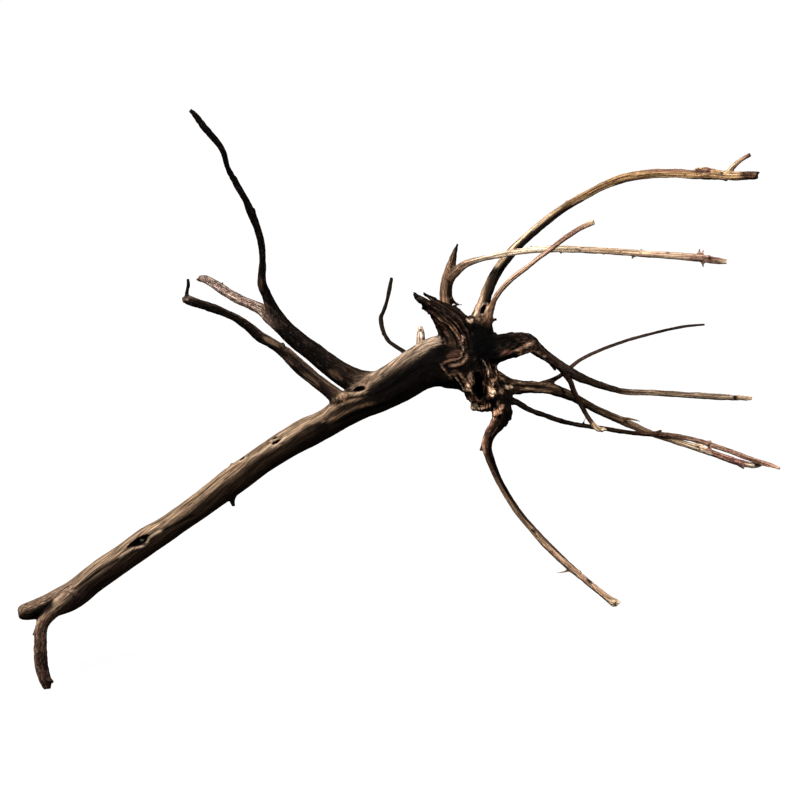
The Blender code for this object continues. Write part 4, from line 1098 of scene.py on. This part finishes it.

# Painted light and shade on the limbs: the painted light's direction, its own on some limbs, and for each
# limb how far round it the painted light ends

SUN = np.array((-0.58, 0.42, 0.70))
PAINTED_LIGHT_SIDES = {
    "lower_root": (-0.85, -0.45, -0.1),
    "middle_root": (-0.25, -0.5, 0.8),
    "crossing_root": (-0.25, -0.5, 0.8),
    "thick_root": (-0.1, -0.75, 0.6),
    "forked_root": (-0.6, -0.5, 0.6),
    "rising_root": (-0.3, -0.5, 0.8),
    "thorny_root": (-0.2, -0.6, 0.75),
    "front_root": (-0.4, -0.3, 0.85),
}
PAINTED_LIGHT_EDGES = {
    "trunk": [(0.0, 0.18), (0.3, 0.22), (0.5, 0.25), (0.65, 0.34), (0.78, 0.5), (0.86, 0.68), (0.95, 0.74)],
    "left_branch": [(0.0, 0.3), (1.0, 0.3)],
    "upright_stub": [(0.0, 0.0), (1.0, 0.05)],
    "arch_root": [(0.0, 0.45), (0.3, 0.4), (0.45, 0.1), (0.6, -0.1), (1.0, -0.3)],
    "lower_root": [(0.0, 0.5), (0.3, 0.4), (0.5, 0.1), (0.65, -0.3), (1.0, -0.8)],
    "middle_root": [(0.0, 0.1), (0.3, 0.1), (0.5, -0.3), (1.0, -0.6)],
    "crossing_root": [(0.0, 0.1), (0.5, 0.1), (0.65, -0.3), (1.0, -0.6)],
    "thick_root": [(0.0, 0.3), (0.5, 0.2), (0.6, -0.2), (1.0, -0.3)],
    "thorny_root": [(0.0, 0.1), (0.2, -0.2), (1.0, -0.4)],
}

# Roughness of each limb in millimetres: lumps, grooves, spacing of the grooves, grit

ROUGHNESS = {
    "trunk": (0.9, 0.24, 2.2, 0.08),
    "crown": (0.9, 1.0, 3.2, 0.4),
    "foot": (0.5, 0.35, 2.4, 0.3),
    "left_branch": (0.55, 0.4, 2.6, 0.16),
    "second_branch": (0.55, 0.4, 2.4, 0.18),
    "third_branch": (0.45, 0.25, 2.0, 0.3),
    "burl": (0.5, 1.0, 2.6, 0.4),
    "upright_stub": (0.35, 0.45, 2.2, 0.2),
    "thick_root": (0.35, 0.3, 2.2, 0.2),
    "arch_root": (0.4, 0.25, 2.2, 0.14),
    "whip": (0.3, 0.1, 1.6, 0.1),
    "rising_root": (0.2, 0.08, 1.4, 0.08),
    "root": (0.3, 0.22, 1.8, 0.14),
}
# How softly the painted light turns into painted shade, on the limbs where it differs
SOFT_SHADE = {"trunk": 0.32, "foot": 0.5, "arch_root": 0.3}

# Relief of the wood: the middle and reach of the crown, how the noises are shaped, with cells in
# millimetres, and how much wilder they are near the crown

CROWN_MIDDLE = placed(np.array([(62.0, 258.0, 6.0)]))[0]
CROWN_REACH = 40.0
TWIST = 0.006
LUMP_LENGTH = 2.6
WANDER = 0.78
WANDER_CELL = (9.0, 22.0)
LUMP_SHARE = 0.9
LUMP_LEAST = 2.0
GROOVE_LENGTH = 11.0
GROOVE_SHARPNESS = 3.0
FINER_WIDTH = 0.45
FINER_LENGTH = 0.6
FINER_DEPTH = 0.4
FINER_SHARPNESS = 2.4
VALLEY_POWER = 1.4
GRIT_CELL = (1.3, 2.6)
CRAG_CELL = (4.2, 6.5)
WILD_SHORTER = 4.0
WILD_GROOVES = 0.7
WILD_GRIT = 0.6
WILD_CRAGS = 2.4

# Painting: the least share of a limb that counts, the thinnest limb, the steps between the limbs'
# own noises, and the edge between the painted lit side and the painted shaded side

LEAST_SHARE = 0.02
THINNEST_PAINTED = 0.8
SEED_STEP = 7.3
GRAIN_STEP = 31.0
EDGE_WANDER = 0.3
EDGE_CELL = (14.0, 38.0)
USUAL_SHADE = 0.24

# Strokes and spots: how far they reach, how strongly they cover and how they fade

STROKE_REACH = 4.0
STROKE_COVER = 0.85
STROKE_START = 0.25
STROKE_RISE = 6.0
SPOT_EDGE = (0.55, 1.35)
FACES_FULLY = 0.35

# Raising the grain


def entry_of(table, name, otherwise):
    """A limb's own entry in a table, or that of its kind."""
    for key in (name, name.rsplit("_", 1)[0], name.split("_")[0]):
        if key in table:
            return table[key]
    return otherwise


def linear_part(part):
    """Linear light from a screen value, both from 0 to 1."""
    if part > 0.04045:
        return ((part + 0.055) / 1.055) ** 2.4
    return part / 12.92


def linear(code):
    """Linear red, green and blue from six hexadecimal digits."""
    return np.array([linear_part(int(code[start : start + 2], 16) / 255) for start in (0, 2, 4)])


def smooth_share(value, low, high):
    share = np.clip((value - low) / (high - low), 0.0, 1.0)
    return share * share * (3.0 - 2.0 * share)


def local_of(shape, points, found):
    """Cross-section offsets and length along, in millimetres, on axes that turn slowly."""
    gap = points - shape.centre[found]
    if isinstance(shape, Ball):
        return gap
    past, side, over = (
        np.einsum("ij,ij->i", gap, axes[found]) for axes in (shape.tangent, shape.side, shape.over)
    )
    along = shape.along[found] + past
    turn = TWIST * along
    across = side * np.cos(turn) - over * np.sin(turn)
    return np.column_stack((across, side * np.sin(turn) + over * np.cos(turn), along))


def grain_noise(local, across, along, seed=0.0):
    """A noise with cells of a size across the grain and another along it, in millimetres."""
    side, over, length = local.T
    rows = np.column_stack((side / across, over / across, length / along + seed))
    return np.array([noise.noise(row) for row in rows.tolist()])


def valleys(values, sharpness):
    """Narrow valleys along the zero lines of a noise, from 0 down to -1."""
    return -(np.clip(1.0 - sharpness * np.abs(values), 0.0, 1.0) ** VALLEY_POWER)


def near_crown(points):
    """1 in the middle of the crown, and soon 0 away from it."""
    return np.exp(-((np.linalg.norm(points - CROWN_MIDDLE, axis=1) / CROWN_REACH) ** 2))


def relief_of(shape, local, radius, points, seed):
    """How far the wood stands out: lumps, long grooves and grit, wilder near the crown."""
    lumps, grooves, width, grit = entry_of(ROUGHNESS, shape.name, ROUGHNESS["root"])
    wild = 0.0 if shape.name == "trunk" else near_crown(points)
    size = LUMP_SHARE * radius + LUMP_LEAST
    lump = grain_noise(local, size, LUMP_LENGTH * size, seed)
    shift = WANDER * width * grain_noise(local, *WANDER_CELL, seed)
    bent = local + np.column_stack((shift, -shift, np.zeros_like(shift)))
    length = GROOVE_LENGTH * width - WILD_SHORTER * width * wild
    groove = valleys(grain_noise(bent, width, length, seed), GROOVE_SHARPNESS)
    finer = grain_noise(bent, FINER_WIDTH * width, FINER_LENGTH * length, seed)
    groove += FINER_DEPTH * valleys(finer, FINER_SHARPNESS)
    height = lumps * lump + (grooves + WILD_GROOVES * wild) * groove
    height += (grit + WILD_GRIT * wild) * grain_noise(local, *GRIT_CELL, seed)
    return height + WILD_CRAGS * wild * grain_noise(local, *CRAG_CELL, seed)


# Painting the limbs


def painted_light_share(shape, share, local, normals):
    """1 on the painted lit side of a limb, 0 on its painted shaded side, with an edge that wanders."""
    toward = np.array(entry_of(PAINTED_LIGHT_SIDES, shape.name, SUN))
    ends = entry_of(PAINTED_LIGHT_EDGES, shape.name, [(0.0, 0.0), (1.0, 0.0)])
    edge = np.interp(share, *np.transpose(ends)) + EDGE_WANDER * grain_noise(local, *EDGE_CELL)
    soft = SOFT_SHADE.get(shape.name, USUAL_SHADE)
    return smooth_share(normals @ toward / np.linalg.norm(toward) - edge, -soft, soft)


def along_stops(share, stops, rows):
    """Values between the stops, a column for each value of a row."""
    return np.column_stack([np.interp(share, stops, column) for column in np.transpose(rows)])


def tones_of(shape, local, normals):
    """Colour with its painted light and shade, specks and bark of each point on a limb."""
    tones = entry_of(TONES, shape.name, TONES["spur"])
    length = 1.0 if isinstance(shape, Ball) else shape.along[-1]
    share = local[:, 2] / length if shape.share is None else np.full(len(local), shape.share)
    # Painted light and shade: the sunny colour where the point faces the painted light, the shaded one
    # where it faces away
    sunny = painted_light_share(shape, share, local, normals)[:, None]
    stops = [tone[0] for tone in tones]
    top = along_stops(share, stops, [linear(tone[1]) for tone in tones])
    under = along_stops(share, stops, [linear(tone[2]) for tone in tones])
    specks, bark = along_stops(share, stops, [tone[3:] for tone in tones]).T
    return under + (top - under) * sunny, specks, bark


def shares_of(points, shapes):
    """For each shape: the rows of its points, its share of each one, and the nearest sample."""
    total = np.full(len(points), NO_CLAIM)
    pulls = pulls_of(points, shapes)
    for pull in pulls:
        total[pull.rows] += pull.claim
    shares = []
    for pull in pulls:
        share = pull.claim / total[pull.rows]
        keep = share > LEAST_SHARE
        shares.append((pull.shape, pull.rows[keep], share[keep], pull.found[keep]))
    return shares


def paint(points, normals, shapes):
    """Relief in millimetres, and per point: colour with painted light and shade, grain coordinates, specks
    and bark.
    """
    count = len(points)
    relief, specks, bark, most = (np.zeros(count) for _ in range(4))
    colour, grain = np.zeros((count, 3)), np.zeros((count, 3))
    for number, (shape, rows, weight, found) in enumerate(shares_of(points, shapes)):
        if len(rows) == 0:
            continue
        local = local_of(shape, points[rows], found)
        radius = np.maximum(shape.radius[found], THINNEST_PAINTED)
        relief[rows] += weight * relief_of(shape, local, radius, points[rows], SEED_STEP * number)
        own_colour, own_specks, own_bark = tones_of(shape, local, normals[rows])
        colour[rows] += weight[:, None] * own_colour
        specks[rows] += weight * own_specks
        bark[rows] += weight * own_bark
        leads = weight > most[rows]
        grain[rows[leads]] = local[leads] + GRAIN_STEP * number
        most[rows] = np.maximum(most[rows], weight)
    return relief, colour, grain, specks, bark


# Drawing the strokes and spots


def reach_to(line, spots):
    """Distance from each spot to a bent line in the drawing plane, and the share along it."""
    best = np.full(len(spots), np.inf)
    share = np.zeros(len(spots))
    for index, (start, end) in enumerate(zip(line, line[1:])):
        run = end - start
        part = np.clip((spots - start) @ run / (run @ run), 0.0, 1.0)
        reach = np.linalg.norm(spots - start - part[:, None] * run, axis=1)
        nearer = reach < best
        best[nearer] = reach[nearer]
        share[nearer] = (index + part[nearer]) / (len(line) - 1)
    return best, share


def facing_eye(points, normals):
    """How squarely each point faces the eye, from 0 to 1."""
    eye = np.array((0.0, -COSINE, SINE)) * EYE_DISTANCE + np.array((0.0, SINE, COSINE)) * EYE_LEVEL
    sight = eye - FOOTPRINT_MIDDLE - points
    sight /= np.linalg.norm(sight, axis=1)[:, None]
    return smooth_share(np.einsum("ij,ij->i", normals, sight), 0.0, FACES_FULLY)


def draw_strokes(spots, facing, relief, colour):
    """The listed ridges and cracks, which fade toward their ends."""
    # Pale strokes paint highlights on lit ridges and edges, black ones paint shade in cracks, creases and
    # shadows
    for height, width, code, line in STROKES:
        line = np.array(line, float)
        margin = STROKE_REACH * width
        low, high = line.min(axis=0) - margin, line.max(axis=0) + margin
        rows = np.flatnonzero(((spots > low) & (spots < high)).all(axis=1) & (facing > 0.0))
        reach, share = reach_to(line, spots[rows])
        fade = np.clip(STROKE_RISE * np.minimum(share, 1.0 - share) + STROKE_START, 0, 1)
        weight = np.exp(-((reach / width) ** 2)) * facing[rows] * fade
        relief[rows] += height * weight
        colour[rows] += STROKE_COVER * weight[:, None] * (linear(code) - colour[rows])


def draw_spots(spots, facing, colour, bark):
    """The listed spots, which take away the bark under them."""
    # Black spots paint shade over hollows, creases and shadowed faces
    for across, up, length, width, turn, strength, code in SPOTS:
        angle = math.radians(turn)
        offset = spots - (across, up)
        along = offset[:, 0] * math.cos(angle) + offset[:, 1] * math.sin(angle)
        beside = offset[:, 1] * math.cos(angle) - offset[:, 0] * math.sin(angle)
        reach = (along / length) ** 2 + (beside / width) ** 2
        weight = strength * facing * (1.0 - smooth_share(reach, *SPOT_EDGE))
        colour += weight[:, None] * (linear(code) - colour)
        bark *= 1.0 - weight


# Noises of the wood: size of the cells across and along the grain in millimetres, detail, roughness

WOOD_NOISES = {
    "streaks": (1.0, 42.0, 4.0, 0.62),
    "fibres": (0.55, 22.0, 3.0, 0.6),
    "cracks": (1.4, 60.0, 2.0, 0.5),
    "patches": (6.0, 30.0, 3.0, 0.55),
    "flakes": (2.0, 3.4, 5.0, 0.68),
    "flecks": (1.5, 5.0, 4.0, 0.7),
    "dots": (1.0, 1.9, 1.0, 0.5),
}

# How a noise is used: low and high value, and what they become

STREAK_LIGHT = (0.32, 0.68, 0.45, 1.5)
FIBRE_LIGHT = (0.3, 0.7, 0.62, 1.32)
PATCH_LIGHT = (0.3, 0.7, 0.86, 1.12)
FLECK_LIGHT = (0.4, 0.6, 0.2, 3.0)
CRACKING = (0.0, 0.05, 1.0, 0.0)
FLAKING = (0.47, 0.56, 0.0, 1.0)
PEELING = (0.44, 0.36, 0.0, 0.6)
SPECKLING = (0.63, 0.69, 0.0, 0.85)
STREAK_GLOSS = (0.3, 0.7, 0.92, 0.74)

# Colours that are laid on the wood, and how strongly; the furrows' colour is painted shade

FLAKED = (0.36, 0.30, 0.28, 1.0)
PEELED = (0.10, 0.07, 0.055, 1.0)
CRACKED = (0.16, 0.11, 0.08, 1.0)
SPECKLED = (0.22, 0.13, 0.08, 1.0)
FURROW_SHADE_TONE = (0.30, 0.24, 0.20, 1.0)
CRACK_COVER = 0.75
FURROW_SHADE_COVER = 0.75
SHINE = 0.04

# Bumps: height of each noise, and the height of one step in metres

STREAK_HEIGHT = 0.9
FIBRE_HEIGHT = 0.5
CRACK_DEPTH = -0.7
FLAKE_DEPTH = -0.5
CRAG_HEIGHT = 1.6
BUMP_STEP = 0.0011

# Material


def join(tree, socket, value):
    """Link a socket to another one, or set it to a value."""
    if isinstance(value, bpy.types.NodeSocket):
        tree.links.new(value, socket)
    else:
        socket.default_value = value


def computed(tree, operation, *values):
    node = tree.nodes.new("ShaderNodeMath")
    node.operation = operation
    for socket, value in zip(node.inputs, values):
        join(tree, socket, value)
    return node.outputs[0]


def product(tree, first, second):
    return computed(tree, "MULTIPLY", first, second)


def ranged(tree, value, low, high, first, last):
    """Map low to high onto first to last, smoothly and clamped."""
    node = tree.nodes.new("ShaderNodeMapRange")
    node.interpolation_type = "SMOOTHSTEP"
    names = ("Value", "From Min", "From Max", "To Min", "To Max")
    for name, number in zip(names, (value, low, high, first, last)):
        join(tree, node.inputs[name], number)
    return node.outputs[0]


def blended(tree, kind, share, first, second):
    node = tree.nodes.new("ShaderNodeMix")
    node.data_type = "RGBA"
    node.blend_type = kind
    sockets = (node.inputs[0], node.inputs[6], node.inputs[7])
    for socket, value in zip(sockets, (share, first, second)):
        join(tree, socket, value)
    return node.outputs[2]


def attribute(tree, name, output="Fac"):
    node = tree.nodes.new("ShaderNodeAttribute")
    node.attribute_name = name
    return node.outputs[output]


def texture(tree, place, across, along, detail, roughness):
    """A noise, stretched along the grain, with cells of the given size in millimetres."""
    scaled = tree.nodes.new("ShaderNodeVectorMath")
    scaled.operation = "MULTIPLY"
    tree.links.new(place, scaled.inputs[0])
    scaled.inputs[1].default_value = (1.0 / across, 1.0 / across, 1.0 / along)
    node = tree.nodes.new("ShaderNodeTexNoise")
    values = (scaled.outputs[0], 1.0, detail, roughness)
    for name, value in zip(("Vector", "Scale", "Detail", "Roughness"), values):
        join(tree, node.inputs[name], value)
    return node.outputs[0]


def wood_light(tree, noises, crags):
    """Light and dark along the grain, as a grey, with stronger flecks at the crags."""
    light = product(
        tree,
        ranged(tree, noises["streaks"], *STREAK_LIGHT),
        ranged(tree, noises["fibres"], *FIBRE_LIGHT),
    )
    light = product(tree, light, ranged(tree, noises["patches"], *PATCH_LIGHT))
    contrast = computed(tree, "SUBTRACT", ranged(tree, noises["flecks"], *FLECK_LIGHT), 1.0)
    light = product(tree, light, computed(tree, "MULTIPLY_ADD", contrast, crags, 1.0))
    grey = tree.nodes.new("ShaderNodeCombineColor")
    for socket in grey.inputs:
        tree.links.new(light, socket)
    return grey.outputs[0]


def cracks_of(tree, noises):
    """1 along the middle lines of a noise, 0 beside them."""
    offset = computed(tree, "ABSOLUTE", computed(tree, "SUBTRACT", noises["cracks"], 0.5))
    return ranged(tree, offset, *CRACKING)


def wood_colour(tree, noises, grey, crack, flaking):
    """The vertex colour with its painted light and shade, broken up by the grey, flakes of bark, cracks,
    specks and painted shade in the furrows.
    """
    bark = attribute(tree, "bark")
    specks = attribute(tree, "specks")
    layers = [
        ("MULTIPLY", flaking, FLAKED),
        ("SCREEN", product(tree, ranged(tree, noises["flakes"], *PEELING), bark), PEELED),
        ("MULTIPLY", product(tree, crack, CRACK_COVER), CRACKED),
        ("MULTIPLY", product(tree, ranged(tree, noises["dots"], *SPECKLING), specks), SPECKLED),
        ("MULTIPLY", product(tree, attribute(tree, "sunken"), FURROW_SHADE_COVER), FURROW_SHADE_TONE),
    ]
    colour = blended(tree, "MULTIPLY", 1.0, attribute(tree, "tint", "Color"), grey)
    for kind, share, tone in layers:
        colour = blended(tree, kind, share, colour, tone)
    return colour


def wood_bumps(tree, noises, crack, flaking, crags):
    """The grain's finest relief, as a normal."""
    height = product(tree, noises["fibres"], FIBRE_HEIGHT)
    terms = [
        (noises["streaks"], STREAK_HEIGHT),
        (crack, CRACK_DEPTH),
        (flaking, FLAKE_DEPTH),
        (product(tree, noises["flecks"], crags), CRAG_HEIGHT),
    ]
    for value, size in terms:
        height = computed(tree, "MULTIPLY_ADD", value, size, height)
    bump = tree.nodes.new("ShaderNodeBump")
    bump.inputs["Strength"].default_value = 1.0
    bump.inputs["Distance"].default_value = BUMP_STEP
    tree.links.new(height, bump.inputs["Height"])
    return bump.outputs[0]


def wood_material():
    """Weathered wood: each vertex's colour with its painted light and shade, broken up by grain, cracks,
    specks and bark.
    """
    material = bpy.data.materials.new("weathered_wood")
    material.use_nodes = True
    tree = material.node_tree
    inputs = tree.nodes["Principled BSDF"].inputs
    grain = attribute(tree, "grain", "Vector")
    noises = {name: texture(tree, grain, *sizes) for name, sizes in WOOD_NOISES.items()}
    crags = attribute(tree, "crags")
    crack = cracks_of(tree, noises)
    flaking = product(tree, ranged(tree, noises["flakes"], *FLAKING), attribute(tree, "bark"))
    colour = wood_colour(tree, noises, wood_light(tree, noises, crags), crack, flaking)
    tree.links.new(colour, inputs["Base Color"])
    tree.links.new(ranged(tree, noises["streaks"], *STREAK_GLOSS), inputs["Roughness"])
    inputs["Specular IOR Level"].default_value = SHINE
    tree.links.new(wood_bumps(tree, noises, crack, flaking, crags), inputs["Normal"])
    return material


# The crown has finer faces: how far from its middle, and the longest edge, in millimetres

FINE_REACH = 37.0
LONGEST_EDGE = 0.95

# Smoothing where limbs meet: how strongly, and how often

JOINT_SMOOTHING = 0.5
JOINT_ROUNDS = 6

# Painted shade in cavities and painted highlights on edges: the smoothing rounds that find them,
# and how much a millimetre of depth darkens the colour, anywhere and in the crown, between the
# darkest and the lightest share

CAVITY_ROUNDS = 3
DARKENING = 2.6
CROWN_DARKENING = 1.2
DARKEST = 0.12
LIGHTEST = 1.45
CROWN_LIGHTEST = 0.7

# Painted shade in the furrows: depth in millimetres where it starts, and over which it grows

FURROW_SHADE_START = 0.15
FURROW_SHADE_GROWTH = 0.9

# The piece


def grown_wood(pairs, balls, shapes):
    """The wood before its grain is raised, with rounded joints, hollows and flat seats."""
    obj = grown(pairs, balls)
    finer_near(obj, CROWN_MIDDLE, FINE_REACH, LONGEST_EDGE)
    points = rounded_joints(points_of(obj), shapes)
    weight = JOINT_SMOOTHING * mixedness(points, shapes)
    move_to(obj, relaxed(points, edges_of(obj), weight, JOINT_ROUNDS))
    cut(obj)
    return obj


def raise_grain(obj, points, normals, relief):
    """Move the points out by their relief, never below the surface, and return them."""
    raised = points + relief[:, None] * normals
    raised[:, 2] = np.maximum(raised[:, 2], 0.0)
    move_to(obj, raised)
    return raised


def cavity_shade_and_edge_highlight(obj, points, crisp):
    """A share for each point's colour: painted shade in a cavity, a painted highlight on an edge."""
    around = relaxed(points, edges_of(obj), np.ones(len(points)), CAVITY_ROUNDS)
    depth = np.einsum("ij,ij->i", around - points, normals_of(obj))
    light = 1.0 - (DARKENING + CROWN_DARKENING * crisp) * depth
    return np.clip(light, DARKEST, LIGHTEST + CROWN_LIGHTEST * crisp)


def store(mesh, name, kind, values):
    data = mesh.attributes.new(name, kind, "POINT").data
    key = {"FLOAT": "value", "FLOAT_VECTOR": "vector", "FLOAT_COLOR": "color"}[kind]
    data.foreach_set(key, values.astype(np.float32).ravel())


def build_wood():
    pairs = all_limbs()
    balls = [Ball(f"knob_{index}", spot) for index, spot in enumerate(KNOBS)]
    shapes = [limb for limb, _ in pairs] + balls
    obj = grown_wood(pairs, balls, shapes)
    points, normals = points_of(obj), normals_of(obj)
    relief, colour, grain, specks, bark = paint(points, normals, shapes)
    spots, facing = as_drawn(points)[:, :2], facing_eye(points, normals)
    draw_strokes(spots, facing, relief, colour)
    draw_spots(spots, facing, colour, bark)
    points = raise_grain(obj, points, normals, relief)
    crisp = near_crown(points)
    # Painted shade in the cavities and painted highlights on the edges
    colour *= cavity_shade_and_edge_highlight(obj, points, crisp)[:, None]
    # Painted shade in the furrows, by how deep they are
    sunken = np.clip(-(relief + FURROW_SHADE_START) / FURROW_SHADE_GROWTH, 0.0, 1.0)
    mesh = obj.data
    # The tint holds the wood's colours with their painted light and shade
    store(mesh, "tint", "FLOAT_COLOR", np.column_stack((colour, np.ones(len(colour)))))
    store(mesh, "grain", "FLOAT_VECTOR", grain)
    shares = {"specks": specks, "bark": bark, "crags": crisp * bark, "sunken": sunken}
    for name, values in shares.items():
        store(mesh, name, "FLOAT", values)
    mesh.shade_smooth()
    mesh.materials.clear()
    mesh.materials.append(wood_material())
    return obj


# Studio: the camera in millimetres and metres, and the colours and strengths of floor and world

LENS = 135.0
SENSOR_WIDTH = 36.0
FURTHEST_SEEN = 20.0
FLOOR_SIZE = 14.0
FLOOR_COLOUR = (0.08, 0.08, 0.08, 1.0)
FLOOR_ROUGHNESS = 0.9
FLOOR_SHINE = 0.1
FLOOR_GLOW_COLOUR = (1.0, 1.0, 1.0, 1.0)
FLOOR_GLOW = 0.93
WORLD_COLOUR = (1.0, 0.98, 0.95, 1.0)
WORLD_STRENGTH = 0.09

# Lamps: spot and aim in metres, size in metres, power in watts, colour

LAMPS = {
    "key": ((-1.5, -0.5, 2.0), (0.0, 0.0, 0.2), 0.45, 90.0, (1.0, 0.975, 0.955)),
    "second": ((1.1, -0.9, 2.0), (0.1, 0.0, 0.2), 0.6, 58.0, (1.0, 0.98, 0.965)),
}


def eye_point(across, up, toward):
    """A point in metres from eye coordinates in millimetres."""
    high = np.array((0.0, SINE, COSINE))
    near = np.array((0.0, -COSINE, SINE))
    return (np.array((across, 0.0, 0.0)) + up * high + toward * near - FOOTPRINT_MIDDLE) * MM


def add_camera():
    data = bpy.data.cameras.new("camera")
    data.type = "PERSP"
    data.lens = LENS
    data.sensor_width = SENSOR_WIDTH
    data.clip_end = FURTHEST_SEEN
    camera = bpy.data.objects.new("camera", data)
    bpy.context.scene.collection.objects.link(camera)
    camera.location = eye_point(0.0, EYE_LEVEL, EYE_DISTANCE)
    camera.rotation_euler = (math.pi / 2 - EYE_ELEVATION, 0.0, 0.0)
    bpy.context.scene.camera = camera


def add_lamp(name, spot, aim, size, power, colour):
    """A soft square lamp, turned to its aim."""
    data = bpy.data.lights.new(name, "AREA")
    data.shape = "SQUARE"
    data.size = size
    data.energy = power
    data.color = colour
    lamp = bpy.data.objects.new(name, data)
    bpy.context.scene.collection.objects.link(lamp)
    lamp.location = spot
    lamp.rotation_euler = (Vector(aim) - Vector(spot)).to_track_quat("-Z", "Y").to_euler()


def floor_material():
    """A plain white paper that glows a little, so it stays pale under the lamp's shadows."""
    material = bpy.data.materials.new("pale_floor")
    material.use_nodes = True
    inputs = material.node_tree.nodes["Principled BSDF"].inputs
    inputs["Base Color"].default_value = FLOOR_COLOUR
    inputs["Roughness"].default_value = FLOOR_ROUGHNESS
    inputs["Specular IOR Level"].default_value = FLOOR_SHINE
    inputs["Emission Color"].default_value = FLOOR_GLOW_COLOUR
    inputs["Emission Strength"].default_value = FLOOR_GLOW
    return material


def add_floor():
    bpy.ops.mesh.primitive_plane_add(size=FLOOR_SIZE, location=(0.0, 0.0, 0.0))
    floor = bpy.context.object
    floor.name = "floor"
    floor.data.materials.append(floor_material())
    floor.visible_diffuse = False
    floor.visible_glossy = False


def add_world():
    world = bpy.data.worlds.new("studio")
    bpy.context.scene.world = world
    world.use_nodes = True
    inputs = world.node_tree.nodes["Background"].inputs
    inputs["Color"].default_value = WORLD_COLOUR
    inputs["Strength"].default_value = WORLD_STRENGTH


add_camera()
for lamp_name, lamp_values in LAMPS.items():
    add_lamp(lamp_name, *lamp_values)
add_floor()
add_world()
bpy.context.scene.view_settings.view_transform = "Standard"

wood = build_wood()

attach(wood, "root")
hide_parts("driftwood")
